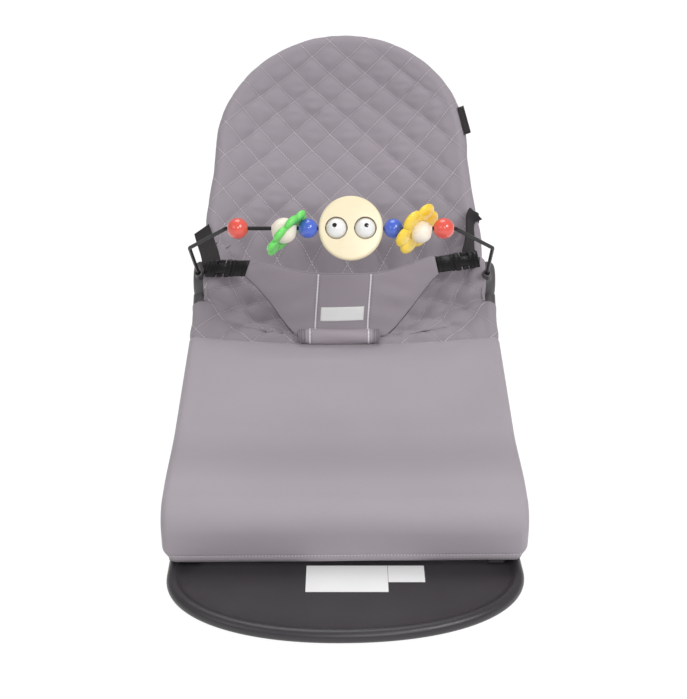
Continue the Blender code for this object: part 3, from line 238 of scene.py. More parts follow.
def lean(point):
    """How far the back leans to the left at a point's place up it."""
    up = (point - HINGE).dot(BACK_UP)
    return -BACK_LEAN * smooth_share((up - 0.045) / 0.055) * (1 - smooth_share((up - 0.19) / 0.17))


def leaned(path):
    return [point + X_AXIS * lean(point) for point in path]


def back_tube_x(up):
    """Half the width between the back tube's two legs, which draw in towards the arch."""
    return blended(ARCH_HALF_WIDTH, BACK_X, 1 - smooth_share((up - 0.05) / (ARCH_START - 0.05)))


def arch_swell(angle, fullness=ARCH_FULLNESS):
    """How far the arch stands outside a plain half ellipse, in a direction from its middle."""
    total = abs(math.cos(angle)) ** fullness + abs(math.sin(angle)) ** fullness
    return total ** (-1 / fullness)


def arch_outward(x, up):
    """The direction square to the arch in the back's plane, at a place from its middle."""
    power = ARCH_FULLNESS - 1
    rise = BACK_LENGTH - ARCH_START
    across = math.copysign(abs(x / ARCH_HALF_WIDTH) ** power / ARCH_HALF_WIDTH, x)
    upward = max(up / rise, 0) ** power / rise
    return (X_AXIS * across + BACK_UP * upward).normalized()


def back_route():
    legs = [on_back(back_tube_x(up), up) for up in [TUBE_STOP + 0.0128 * i for i in range(12)]]
    arch = []
    for i in range(65):
        angle = math.pi * i / 64
        swell = arch_swell(angle)
        across = ARCH_HALF_WIDTH * swell * math.cos(angle)
        arch.append(on_back(across, ARCH_START + (BACK_LENGTH - ARCH_START) * swell * math.sin(angle)))
    return legs + arch + [Vector((-p.x, p.y, p.z)) for p in reversed(legs)]


def toy_point(x, reach):
    return HINGE + X_AXIS * x + TOY_OUT * reach


def toy_route():
    left = [toy_point(-x, reach) for x, reach in WIRE_PLACES["left"]]
    right = [toy_point(x, reach) for x, reach in WIRE_PLACES["right"]]
    return rounded(left + right[::-1], (0.012, 0.006, 0.006, 0.012), math.radians(5))


def on_restraint(x, up, forward=0.0):
    return RESTRAINT_FOOT + X_AXIS * x + RESTRAINT_UP * up + RESTRAINT_FRONT * forward


# Settings a user would change


def length_property(name, description, default):
    return FloatProperty(name=name, description=description, default=default, unit="LENGTH")


class BouncerSizes(bpy.types.PropertyGroup):
    """Sizes of the cloth and the small pieces."""

    quilt_width: length_property("Diamond width", "Width of one quilted diamond", 0.0484)
    quilt_height: length_property("Diamond height", "Height of one quilted diamond", 0.0485)
    quilt_puff: length_property("Puff", "How far a diamond stands above its stitches", 0.0060)
    quilt_sag: length_property("Back sag", "How far the back's middle hangs behind its tube", 0.028)
    cloth_step: length_property("Cloth step", "Size of one face of the cloth", 0.0036)
    cloth_thickness: length_property("Cloth thickness", "Thickness of the single cloth", 0.0014)
    cover_sag: length_property("Leg cover sag", "How far the leg cover hangs between its tubes", 0.007)
    round_sides: IntProperty(
        name="Round sides", description="Faces round a turned piece", default=64, min=16, max=128
    )


def colour_property(name, description, default):
    return FloatVectorProperty(
        name=name, description=description, subtype="COLOR", size=3, min=0, max=1, default=default
    )


class BouncerColours(bpy.types.PropertyGroup):
    """Colours of the finishes, in linear light."""

    quilt: colour_property("Quilt", "Quilted cloth of the back and seat", (0.305, 0.270, 0.303))
    cover: colour_property("Leg cover", "Plain cloth over the legs", (0.362, 0.325, 0.359))
    restraint: colour_property("Restraint", "Cloth of the seat front", (0.300, 0.266, 0.297))
    thread: colour_property("Thread", "Sewing thread", (0.78, 0.74, 0.78))
    webbing: colour_property("Webbing", "Straps and side tag", (0.024, 0.020, 0.022))
    plate: colour_property("Plate", "Moulded foot plate", (0.034, 0.030, 0.034))
    steel: colour_property("Steel", "Coated tubes and wire", (0.010, 0.009, 0.010))
    hinge: colour_property("Hinge", "Moulded hinges", (0.080, 0.075, 0.079))
    buckle: colour_property("Buckle", "Moulded buckles", (0.006, 0.005, 0.006))
    red: colour_property("Red", "Red beads", (0.78, 0.10, 0.075))
    blue: colour_property("Blue", "Blue beads", (0.07, 0.14, 0.62))
    green: colour_property("Green", "Green flower ring", (0.16, 0.74, 0.13))
    yellow: colour_property("Yellow", "Yellow flower ring", (0.95, 0.66, 0.04))
    wood: colour_property("Pale wood", "Bare wooden balls", (0.92, 0.84, 0.72))
    cream: colour_property("Cream", "Painted face disc", (0.86, 0.755, 0.52))
    white: colour_property("White", "Eyes, labels and stickers", (0.86, 0.86, 0.86))


def sizes():
    return bpy.context.scene.bouncer_sizes


def colours():
    return bpy.context.scene.bouncer_colours


# Materials


class Term:
    """A value running through a tree of shader nodes, which takes part in sums."""

    def __init__(self, graph, socket):
        self.graph = graph
        self.socket = socket

    def maths(self, operation, *values, clamp=False):
        return self.graph.node("ShaderNodeMath", {"operation": operation, "use_clamp": clamp}, values)

    def __add__(self, other):
        return self.maths("ADD", self, other)

    def __radd__(self, other):
        return self.maths("ADD", other, self)

    def __sub__(self, other):
        return self.maths("SUBTRACT", self, other)

    def __rsub__(self, other):
        return self.maths("SUBTRACT", other, self)

    def __mul__(self, other):
        return self.maths("MULTIPLY", self, other)

    def __rmul__(self, other):
        return self.maths("MULTIPLY", other, self)

    def __truediv__(self, other):
        return self.maths("DIVIDE", self, other)

    def sine(self):
        return self.maths("SINE", self)

    def size(self):
        return self.maths("ABSOLUTE", self)

    def folded(self, width):
        """Runs up and down between 0 and the width."""
        return self.maths("PINGPONG", self, width)

    def wrapped(self, width):
        return self.maths("WRAP", self, width, 0.0)

    def ribs(self, pitch, depth=0.5):
        """Soft waves about a half, one for each pitch."""
        return (self * (2 * math.pi / pitch)).sine() * depth + 0.5

    def below(self, limit, soft):
        """1 under the limit and 0 over it, with a soft edge."""
        return self.maths("MULTIPLY", limit - self, 1 / soft, clamp=True)

    def above(self, limit, soft):
        return self.maths("MULTIPLY", self - limit, 1 / soft, clamp=True)


class Graph:
    """A tree of shader nodes that is built node by node."""

    def __init__(self, owner):
        owner.use_nodes = True
        self.nodes = owner.node_tree.nodes
        self.links = owner.node_tree.links

    def node(self, kind, settings=None, values=(), output=0):
        """Adds a node: its settings first, then the values or links of its sockets."""
        made = self.nodes.new(kind)
        for name, value in (settings or {}).items():
            setattr(made, name, value)
        for key, value in values.items() if isinstance(values, dict) else enumerate(values):
            self.feed(made.inputs[key], value)
        return Term(self, made.outputs[output])

    def feed(self, socket, value):
        if isinstance(value, Term):
            self.links.new(value.socket, socket)
        elif isinstance(value, tuple) and len(value) == 3 and socket.type == "RGBA":
            socket.default_value = (*value, 1.0)
        else:
            socket.default_value = value

    def seen_by(self, ray):
        """1 for one kind of ray and 0 for the others."""
        return self.node("ShaderNodeLightPath", output=f"Is {ray} Ray")

    def mixed_shader(self, output, share, first, second):
        """Mixes two shaders by a share, and shows the mix through an output node."""
        blend = self.node("ShaderNodeMixShader", {}, (share, first, second))
        self.feed(self.nodes.new(output).inputs["Surface"], blend)


class Finish(Graph):
    """One procedural material, built on its Principled shader."""

    def __init__(self, name, roughness=0.5, **constants):
        self.material = bpy.data.materials.new(name)
        super().__init__(self.material)
        self.shader = self.nodes["Principled BSDF"]
        self.shader.inputs["Roughness"].default_value = roughness
        for socket, value in constants.items():
            self.shader.inputs[socket.replace("_", " ")].default_value = value

    def set(self, **values):
        for socket, value in values.items():
            self.feed(self.shader.inputs[socket.replace("_", " ")], value)
        return self

    def place(self):
        return self.node("ShaderNodeTexCoord", output="Object")

    def cloth_place(self):
        """The cloth's own flat place, in metres."""
        return self.node("ShaderNodeUVMap", {"uv_map": "cloth"})

    def parts_of(self, vector):
        made = self.nodes.new("ShaderNodeSeparateXYZ")
        self.feed(made.inputs[0], vector)
        return [Term(self, output) for output in made.outputs]

    def noise(self, vector, scale, detail):
        """Even noise at a scale, or noise stretched to a scale for each axis."""
        if isinstance(scale, tuple):
            vector = self.node("ShaderNodeMapping", {}, {"Vector": vector, "Scale": scale})
            scale = 1.0
        values = {"Vector": vector, "Scale": scale, "Detail": detail, "Roughness": 0.5}
        return self.node("ShaderNodeTexNoise", {}, values, "Fac")

    def mix(self, share, first, second):
        return self.node("ShaderNodeMix", {"data_type": "RGBA"}, {0: share, 6: first, 7: second}, 2)

    def tint(self, share, colour, low, high):
        """Sets the base colour, which runs between two tones of one colour."""
        return self.set(Base_Color=self.mix(share, toned(colour, low), toned(colour, high)))

    def stitched(self, share, cloth):
        """Sets the base colour: thread over cloth."""
        return self.set(Base_Color=self.mix(share, cloth, tuple(colours().thread)))

    def bump(self, height, distance):
        values = {"Height": height, "Distance": distance, "Strength": 1.0}
        return self.set(Normal=self.node("ShaderNodeBump", {}, values))


def toned(colour, factor):
    return tuple(min(1.0, channel * factor) for channel in colour)


def cloth_base(name, colour, roughness, sheen):
    """Smooth woven cloth: faint threads both ways, cloudy tone and a soft sheen."""
    finish = Finish(name, roughness, Sheen_Weight=sheen, Sheen_Roughness=0.45)
    finish.set(Specular_IOR_Level=0.35)
    place = finish.cloth_place()
    warp = finish.noise(place, (2600, 260, 1), 1.0)
    weft = finish.noise(place, (260, 2600, 1), 1.0)
    cloud = finish.noise(place, 14.0, 3.0)
    threads = warp + weft
    tone = (threads - 1.0) * 0.35 + (cloud - 0.5) * 0.5 + 0.5
    base = finish.mix(tone, toned(colour, 0.92), toned(colour, 1.08))
    return finish, place, threads, base


def quilt_finish():
    """Quilted cloth with pale dashed stitches along both diagonals, painted shade in the dips beside them,
    and puckers there.
    """
    size = sizes()
    finish, place, threads, base = cloth_base("quilted_cloth", tuple(colours().quilt), 0.72, 0.3)
    across, up, _ = finish.parts_of(place)
    columns = across / (size.quilt_width / 2)
    rows = up / (size.quilt_height / 2)
    spacing = 1 / math.hypot(1 / size.quilt_width, 1 / size.quilt_height)
    rising = (columns + rows) * 0.5
    falling = (columns - rows) * 0.5
    stitch_pitch = 0.0034
    distances = []
    threads_drawn = []
    # Each direction of stitches is drawn fainter on one side: those running down to the right fade on the
    # right, those running up to the right fade on the left
    left_shown = across.below(0.05, 0.06) * 0.6 + 0.4
    right_shown = across.above(-0.02, 0.06) * 0.4 + 0.6
    for line, run, shown in ((rising, falling, left_shown), (falling, rising, right_shown)):
        distance = line.folded(0.5) * spacing
        dash = (run * (spacing / stitch_pitch)).wrapped(1.0).below(0.74, 0.12)
        threads_drawn.append(distance.below(0.00055, 0.0003) * dash * shown)
        distances.append(distance)
    thread = threads_drawn[0].maths("MAXIMUM", *threads_drawn)
    dip = distances[0].maths("MINIMUM", *distances).below(0.0035, 0.0035)
    # Painted shade: the cloth is darkened in the dips beside the stitches
    shaded = finish.mix(dip * 0.16, base, toned(colours().quilt, 0.7))
    finish.stitched(thread * 0.72, shaded)
    pucker = finish.noise(place, (95, 190, 1), 2.0) * dip
    return finish.bump(threads * 0.12 + pucker * 1.4 - dip * 0.5 + thread * 0.5, 0.0009).material


def cover_finish():
    """Plain satin cloth with a dotted hem line, a painted band of light across it and a painted band of
    shade above that.
    """
    finish, place, threads, base = cloth_base("leg_cover_cloth", tuple(colours().cover), 0.68, 0.3)
    across, up, _ = finish.parts_of(place)
    # Painted light and painted shade: a lighter band across the cover and a darker one above it
    painted_light_band = (up - 0.098).size().below(0.030, 0.026)
    painted_shade_band = (up - 0.150).size().below(0.042, 0.036)
    base = finish.mix(painted_light_band * 0.5, base, toned(colours().cover, 1.06))
    base = finish.mix(painted_shade_band * 0.5, base, toned(colours().cover, 0.82))
    hem = (up - 0.0075).size()
    dots = (across / 0.0036).wrapped(1.0).below(0.6, 0.15)
    thread = hem.below(0.0007, 0.0003) * dots
    groove = hem.below(0.002, 0.0018)
    finish.stitched(thread * 0.75, base)
    return finish.bump(threads * 0.1 - groove * 0.5 + thread * 0.5, 0.0008).material


def plain_cloth_finish(name, colour):
    finish, place, threads, base = cloth_base(name, colour, 0.72, 0.25)
    finish.set(Base_Color=base)
    return finish.bump(threads * 0.12, 0.0007).material


def seamed_finish(name, colour, seams, ends_from=1.0):
    """Cloth with upright white seams at places across it, painted shade along their grooves, and ribbed
    ends past a place darkened in stripes, painted shade between their ribs.
    """
    finish, place, threads, base = cloth_base(name, colour, 0.72, 0.25)
    across, up, _ = finish.parts_of(place)
    dots = (up / 0.0040).wrapped(1.0).below(0.9, 0.1)
    thread = 0.0
    groove = 0.0
    for x in seams:
        distance = (across - x).size()
        thread = distance.below(0.0011, 0.0003) * (dots * 0.35 + 0.65) + thread
        groove = distance.below(0.0040, 0.0032) + groove
    # Painted shade along each seam's groove
    shaded = finish.mix(groove * 0.25, base, toned(colour, 0.6))
    # Painted shade: the ends past a place are darkened in stripes between their ribs
    ribs = across.ribs(0.0022, 0.3)
    shaded = finish.mix(across.size().above(ends_from, 0.0008) * ribs, shaded, toned(colour, 0.35))
    finish.stitched(thread * 0.95, shaded)
    return finish.bump(threads * 0.12 + thread * 0.5 - groove * 0.8, 0.0010).material


def webbing_finish():
    """Narrow webbing: ribs across its run, in near-black thread."""
    colour = tuple(colours().webbing)
    finish = Finish("webbing", 0.88, Sheen_Weight=0.05, Sheen_Roughness=0.5, Specular_IOR_Level=0.3)
    place = finish.cloth_place()
    across, up, _ = finish.parts_of(place)
    ribs = up.ribs(0.0016)
    columns = across.ribs(0.0022)
    cloud = finish.noise(place, 400.0, 2.0)
    finish.tint(ribs * 0.4 + cloud * 0.5, colour, 0.7, 1.5)
    return finish.bump(ribs * 0.6 + columns * 0.4, 0.0003).material


def solid_finish(name, colour, tones, fine, cloud, relief, roughness, wander=0.0, share=0.0, **constants):
    """A solid's finish: cloudy tone and gloss over a fine relief.

    Fine and cloud are the scale and detail of their noise, and share is the fine one's part in the tone.
    """
    finish = Finish(name, roughness, **constants)
    place = finish.place()
    fine = finish.noise(place, *fine)
    cloud = finish.noise(place, *cloud)
    finish.tint(cloud * (1 - share) + fine * share if share else cloud, colour, *tones)
    if wander:
        finish.set(Roughness=(cloud - 0.5) * wander + roughness)
    return finish.bump(fine, relief).material


def moulded_finish(name, colour, roughness, grain=0.00012, gloss=0.5):
    """Moulded plastic with a fine spark-eroded grain and slightly uneven gloss."""
    finish = Finish(name, roughness, Specular_IOR_Level=gloss)
    place = finish.place()
    fine = finish.noise(place, 1600.0, 2.0)
    cloud = finish.noise(place, 22.0, 3.0)
    finish.tint(cloud * 0.6 + fine * 0.4, colour, 0.82, 1.2)
    finish.set(Roughness=(cloud - 0.5) * 0.14 + (fine - 0.5) * 0.1 + roughness)
    return finish.bump(fine, grain).material


def bright_finish():
    """Plated steel with fine turning marks."""
    finish = Finish("plated_steel", 0.3)
    place = finish.place()
    marks = finish.noise(place, (3000, 300, 300), 2.0)
    cloud = finish.noise(place, 60.0, 2.0)
    finish.set(Base_Color=finish.mix(cloud, (0.42, 0.42, 0.43), (0.55, 0.55, 0.56)))
    finish.set(Metallic=1.0, Roughness=marks * 0.2 + 0.22)
    return finish.bump(marks, 0.00005).material


def rubber_finish():
    finish = Finish("rubber", 0.85)
    fine = finish.noise(finish.place(), 900.0, 3.0)
    finish.set(Base_Color=finish.mix(fine, (0.022, 0.022, 0.023), (0.042, 0.041, 0.042)))
    return finish.bump(fine, 0.0002).material


def painted_finish(name, colour, roughness=0.22, coat=0.5):
    """Lacquered wood: a glossy coat over paint, with a trace of grain and dust nibs."""
    return solid_finish(
        name, colour, (0.93, 1.06), ((60, 420, 420), 3.0), (70.0, 2.0), 0.00008, roughness, 0.08, 0.4,
        Coat_Weight=coat, Coat_Roughness=0.12,
    )


def gloss_finish(name, colour, roughness=0.15):
    """Glossy moulded plastic."""
    return solid_finish(
        name, colour, (0.96, 1.02), (90.0, 2.0), (90.0, 2.0), 0.00004, roughness, 0.05,
        Coat_Weight=0.6, Coat_Roughness=0.05,
    )


def wood_finish():
    """Pale sanded wood with close, faint rings."""
    colour = tuple(colours().wood)
    finish = Finish("pale_wood", 0.5, Coat_Weight=0.15, Coat_Roughness=0.3)
    place = finish.place()
    warped = finish.noise(place, 35.0, 2.0)
    across, depth, height = finish.parts_of(place)
    rings = ((depth + height * 0.4) * 1500.0 + warped * 9.0).sine() * 0.5 + 0.5
    pores = finish.noise(place, (80, 900, 900), 2.0)
    tone = rings * 0.35 + pores * 0.35 + warped * 0.3
    finish.tint(tone, colour, 0.93, 1.05)
    return finish.bump(pores, 0.0001).material


def label_finish():
    """Blank woven label, satin ribs across it."""
    colour = tuple(colours().white)
    finish = Finish("woven_label", 0.6, Sheen_Weight=0.3)
    place = finish.cloth_place()
    _, up, _ = finish.parts_of(place)
    ribs = up.ribs(0.0009)
    threads = finish.noise(place, (3000, 500, 1), 1.0)
    finish.tint(ribs * 0.4 + threads * 0.6, colour, 0.9, 1.04)
    return finish.bump(ribs + threads, 0.0002).material


FINISHES = {}


def make_finishes():
    colour = colours()
    FINISHES.update(
        quilt=quilt_finish(),
        cover=cover_finish(),
        restraint=seamed_finish("restraint_cloth", tuple(colour.restraint), (-0.0322, 0.0338)),
        keeper=seamed_finish("keeper_cloth", toned(colour.restraint, 1.2), (-0.0370, 0.0370), 0.0418),
        binding=plain_cloth_finish("binding_cloth", toned(colour.restraint, 0.85)),
        # Near-black cord under the flap's wings: painted shadow of the gap between flap and seat
        piping=plain_cloth_finish("piping_cloth", toned(colour.restraint, 0.22)),
        webbing=webbing_finish(),
        plate=moulded_finish("plate_plastic", tuple(colour.plate), 0.36, 0.0001),
        hinge=moulded_finish("hinge_plastic", tuple(colour.hinge), 0.42),
        buckle=moulded_finish("buckle_plastic", tuple(colour.buckle), 0.24, 0.00008, 0.34),
        # Black powder coat with its faint orange peel
        steel=solid_finish(
            "coated_steel", tuple(colour.steel), (0.8, 1.25), (520.0, 2.0), (30.0, 2.0), 0.00015,
            0.40, 0.12, Specular_IOR_Level=0.28,
        ),
        bright=bright_finish(),
        rubber=rubber_finish(),
        red=painted_finish("red_paint", tuple(colour.red)),
        blue=painted_finish("blue_paint", tuple(colour.blue)),
        green=gloss_finish("green_plastic", tuple(colour.green), 0.3),
        yellow=gloss_finish("yellow_plastic", tuple(colour.yellow), 0.3),
        cream=painted_finish("cream_paint", tuple(colour.cream), 0.35, 0.2),
        wood=wood_finish(),
        white=gloss_finish("eye_white", tuple(colour.white)),
        pupil=gloss_finish("pupil_black", (0.01, 0.01, 0.01)),
        # Blank white film with a soft tooth
        sticker=solid_finish(
            "sticker_film", tuple(colour.white), (0.97, 1.04), (700.0, 2.0), (25.0, 2.0), 0.00006, 0.42
        ),
        label=label_finish(),
    )


# Modelling steps that pieces share


def deselect():
    if bpy.context.mode != "OBJECT":
        bpy.ops.object.mode_set(mode="OBJECT")
    bpy.ops.object.select_all(action="DESELECT")


def begin_edit(action="SELECT"):
    """Opens the active piece, with all of its points selected or none."""
    bpy.ops.object.mode_set(mode="EDIT")
    bpy.ops.mesh.select_mode(type="VERT")
    bpy.ops.mesh.select_all(action=action)


def end_edit():
    bpy.ops.object.mode_set(mode="OBJECT")


def turn_outwards():
    """Turns every face of the open piece outwards, and closes the piece."""
    bpy.ops.mesh.normals_make_consistent(inside=False)
    end_edit()


def named(name, finish):
    """Names the new active object, and gives it its finish and material slot."""
    piece = bpy.context.object
    piece.name = name
    piece.data.name = name
    piece.data.materials.clear()
    piece.data.materials.append(FINISHES[finish])
    return piece


def choose(piece):
    deselect()
    piece.select_set(True)
    bpy.context.view_layer.objects.active = piece


def tidy_normals(piece, merge=0.00001):
    """Merges doubled points and turns every face outwards."""
    choose(piece)
    begin_edit()
    bpy.ops.mesh.remove_doubles(threshold=merge)
    turn_outwards()


def smooth(piece, angle=40.0):
    choose(piece)
    bpy.ops.object.shade_smooth_by_angle(angle=math.radians(angle))
    return piece


def apply_modifier(piece, kind, **settings):
    choose(piece)
    made = piece.modifiers.new(kind.title(), kind)
    for name, value in settings.items():
        setattr(made, name, value)
    bpy.ops.object.modifier_apply(modifier=made.name)


def step_out(piece, ring):
    """Extrudes the selected edges, and gives the new point of each point of the ring."""
    bpy.ops.mesh.extrude_edges_indiv()
    shape = bmesh.from_edit_mesh(piece.data)
    shape.verts.ensure_lookup_table()
    shape.verts.index_update()
    fresh = []
    for index in ring:
        old = shape.verts[index]
        fresh.append(next(e.other_vert(old).index for e in old.link_edges if e.other_vert(old).select))
    return fresh


def move_points(piece, ring, places):
    shape = bmesh.from_edit_mesh(piece.data)
    shape.verts.ensure_lookup_table()
    for index, place in zip(ring, places):
        shape.verts[index].co = place
    bmesh.update_edit_mesh(piece.data)


def drawn(name, rings, finish, closed=False, angle=40.0):
    """A skin drawn from a circle of edges, ring after ring, then capped or joined up."""
    deselect()
    bpy.ops.mesh.primitive_circle_add(vertices=len(rings[0]), radius=0.01)
    piece = named(name, finish)
    begin_edit()
    ring = list(range(len(rings[0])))
    move_points(piece, ring, rings[0])
    if not closed:
        bpy.ops.mesh.edge_face_add()
    for places in rings[1:]:
        ring = step_out(piece, ring)
        move_points(piece, ring, places)
    if closed:
        ring = step_out(piece, ring)
        move_points(piece, ring, rings[0])
    else:
        bpy.ops.mesh.edge_face_add()
    end_edit()
    tidy_normals(piece)
    return smooth(piece, angle)


def swept(name, path, section, sideways, finish):
    """A closed section of (u, v) points drawn along a path: u along sideways, v square to it."""
    rings = []
    for i, point in enumerate(path):
        ahead = (path[min(i + 1, len(path) - 1)] - point).normalized()
        behind = (point - path[max(i - 1, 0)]).normalized()
        tangent = (ahead + behind).normalized()
        across = (sideways - tangent * sideways.dot(tangent)).normalized()
        upward = tangent.cross(across)
        pairs = section(i / (len(path) - 1)) if callable(section) else section
        rings.append([point + across * u + upward * v for u, v in pairs])
    return drawn(name, rings, finish)


def spokes(sides):
    """The angles of evenly spaced points round a circle."""
    return [2 * math.pi * i / sides for i in range(sides)]


def polar(radius, angle, height):
    return Vector((radius * math.cos(angle), radius * math.sin(angle), height))


def circle(radius, sides=24):
    return [(radius * math.cos(a), radius * math.sin(a)) for a in spokes(sides)]


def turned(name, profile, centre, axis, finish, sides=None, angle=40.0):
    """A profile of (radius, height) points turned about an axis through the centre.

    A profile that ends on the axis closes there, and any other joins up with its own start.
    """
    sides = sides or sizes().round_sides
    turn = Z_AXIS.rotation_difference(axis).to_matrix()
    on_axis = 0.00002
    rings = [
        [centre + turn @ polar(max(radius, on_axis), spoke, height) for spoke in spokes(sides)]
        for radius, height in profile
    ]
    closed = profile[0][0] > on_axis and profile[-1][0] > on_axis
    piece = drawn(name, rings, finish, closed=closed, angle=angle)
    if not closed:
        tidy_normals(piece, 0.00005)
        smooth(piece, angle)
    return piece


def softened(corners, bends, step=math.radians(18)):
    """A (radius, height) profile whose inner corners are rounded by the bends."""
    points = [Vector((radius, 0, height)) for radius, height in corners]
    return [(p.x, p.z) for p in rounded(points, bends, step)]


def cloth_grid(name, columns, rows, place, finish):
    """A grid of cloth: place(u, v) gives a point and its flat place, for u and v from -1 to 1."""
    deselect()
    bpy.ops.mesh.primitive_grid_add(x_subdivisions=columns, y_subdivisions=rows, size=2)
    piece = named(name, finish)
    flat = {}
    for vertex in piece.data.vertices:
        point, flat[vertex.index] = place(vertex.co.x, vertex.co.y)
        vertex.co = point
    return piece, flat


def write_flat(piece, flat):
    """Stores each point's flat cloth place, in metres, as the piece's own map."""
    while piece.data.uv_layers:
        piece.data.uv_layers.remove(piece.data.uv_layers[0])
    layer = piece.data.uv_layers.new(name="cloth")
    for loop in piece.data.loops:
        layer.data[loop.index].uv = flat[loop.vertex_index]


def face_to(piece, direction):
    """Turns an open sheet's faces all one way, its middle towards the direction."""
    choose(piece)
    begin_edit()
    turn_outwards()
    total = sum((face.normal * face.area for face in piece.data.polygons), Vector())
    if total.dot(direction) < 0:
        begin_edit()
        bpy.ops.mesh.flip_normals()
        end_edit()


def thicken(piece, thickness, inward=True):
    offset = -1.0 if inward else 0.0
    apply_modifier(piece, "SOLIDIFY", thickness=thickness, offset=offset, use_even_offset=False)
    for face in piece.data.polygons:
        face.use_smooth = True


def finish_cloth(piece, flat, direction, thickness, inward=True):
    """Stores the flat places, faces the cloth one way and gives it its thickness."""
    write_flat(piece, flat)
    face_to(piece, direction)
    thicken(piece, thickness, inward)


def path_runs(path):
    """How far along the path each of its points is."""
    runs = [0.0]
    for a, b in zip(path, path[1:]):
        runs.append(runs[-1] + (b - a).length)
    return runs


def joined(name, pieces):
    """Joins pieces into the first of them, and names it."""
    choose(pieces[0])
    for piece in pieces[1:]:
        piece.select_set(True)
    bpy.ops.object.join()
    pieces[0].name = name
    pieces[0].data.name = name
    return pieces[0]


def block(name, low, high, axes, bevel, finish):
    """A block between two corners on an origin and three axes, its edges rounded."""
    deselect()
    bpy.ops.mesh.primitive_cube_add(size=1)
    piece = named(name, finish)
    corners = (low, high)
    low = Vector(map(min, *corners))
    high = Vector(map(max, *corners))
    origin, across, up, forward = axes
    turn = Matrix((across, up, forward)).transposed()
    for vertex in piece.data.vertices:
        share = vertex.co + Vector((0.5, 0.5, 0.5))
        local = Vector(blended(low[k], high[k], share[k]) for k in range(3))
        vertex.co = origin + turn @ local
    begin_edit()
    bpy.ops.mesh.normals_make_consistent(inside=False)
    if bevel:
        bpy.ops.mesh.bevel(offset=bevel, segments=3, affect="EDGES", profile=0.5)
    end_edit()
    return smooth(piece, 50.0)


# The pieces


class BOUNCER_OT_stage(bpy.types.Operator):
    """Add the camera, the pale floor and the soft lamps"""

    bl_idname = "bouncer.stage"
    bl_label = "Stage"

    # The photograph's width, its middle and its focal length in pixels, and where it was taken from
    width_px = 687
    centre_px = 344.4
    focal_px = 1279.3
    camera_place = (0, FRONT - 1.0486, 0.8205)
    camera_drop = math.radians(25.02)
    aim = Vector((0, 0, 0.2))
    # Each lamp's place, size and power
    lamps = {
        "key_lamp": (Vector((1.4, -1.5, 2.0)), 0.9, 28.0),
        "fill_lamp": (Vector((-1.6, -1.6, 1.5)), 1.0, 7.0),
        "front_lamp": (Vector((0.35, -2.3, 1.5)), 0.5, 12.0),
        "top_lamp": (Vector((-0.2, 0.7, 2.3)), 1.2, 17.0),
    }
    world_light = 0.40
    floor_glow = 1.12
    floor_share = 0.84

    def execute(self, context):
        bpy.ops.object.camera_add(
            location=self.camera_place, rotation=(math.pi / 2 - self.camera_drop, 0, 0)
        )
        camera = context.object
        camera.name = "camera"
        camera.data.sensor_fit = "HORIZONTAL"
        camera.data.sensor_width = 36.0
        camera.data.lens = self.focal_px / self.width_px * camera.data.sensor_width
        camera.data.shift_x = 0.5 - self.centre_px / self.width_px
        context.scene.camera = camera
        context.scene.view_settings.view_transform = "Standard"

        deselect()
        bpy.ops.mesh.primitive_plane_add(size=14, location=(0, 0, 0))
        floor = context.object
        floor.name = "floor"
        floor.data.materials.append(self.floor_material())
        self.light_world(context.scene)
        for name, (place, size, power) in self.lamps.items():
            bpy.ops.object.light_add(type="AREA", location=place)
            lamp = context.object
            lamp.name = name
            lamp.data.size = size
            lamp.data.energy = power
            lamp.rotation_euler = (self.aim - place).to_track_quat("-Z", "Y").to_euler()
        return {"FINISHED"}

    def floor_material(self):
        """A white floor that keeps a light shadow and shows white to the camera."""
        made = bpy.data.materials.new("floor_white")
        graph = Graph(made)
        graph.nodes.clear()
        camera_ray = graph.seen_by("Camera")
        share = camera_ray.maths("MAXIMUM", camera_ray, graph.seen_by("Glossy")) * self.floor_share
        paint = graph.node("ShaderNodeBsdfDiffuse", {}, {"Color": (0.88, 0.88, 0.88)})
        glow = graph.node("ShaderNodeEmission", {}, {"Color": (1, 1, 1), "Strength": self.floor_glow})
        graph.mixed_shader("ShaderNodeOutputMaterial", share, paint, glow)
        return made

    def light_world(self, scene):
        scene.world = bpy.data.worlds.new("soft_light")
        graph = Graph(scene.world)
        graph.nodes.clear()
        lit, shown = (
            graph.node("ShaderNodeBackground", {}, {"Color": (1, 1, 1), "Strength": strength})
            for strength in (self.world_light, 1.0)
        )
        graph.mixed_shader("ShaderNodeOutputWorld", graph.seen_by("Camera"), lit, shown)


class BOUNCER_OT_finishes(bpy.types.Operator):
    """Make the finishes, and give the carried-over pieces theirs"""

    bl_idname = "bouncer.finishes"
    bl_label = "Finishes"

    kept = {
        "rubber": ("front_pad_middle", "front_pad_left", "front_pad_right"),
        "bright": ("fold_pin", "bounce_pin", "bracket_screw", "detent_washer", "pivot_bolt"),
        "hinge": ("leg_bracket", "leg_link"),
        "steel": ("knee_bar", "hem_rod"),
    }

    def execute(self, context):
        make_finishes()
        for finish, starts in self.kept.items():
            for name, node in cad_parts.items():
                if name.startswith(starts):
                    node.data.materials.clear()
                    node.data.materials.append(FINISHES[finish])
        return {"FINISHED"}


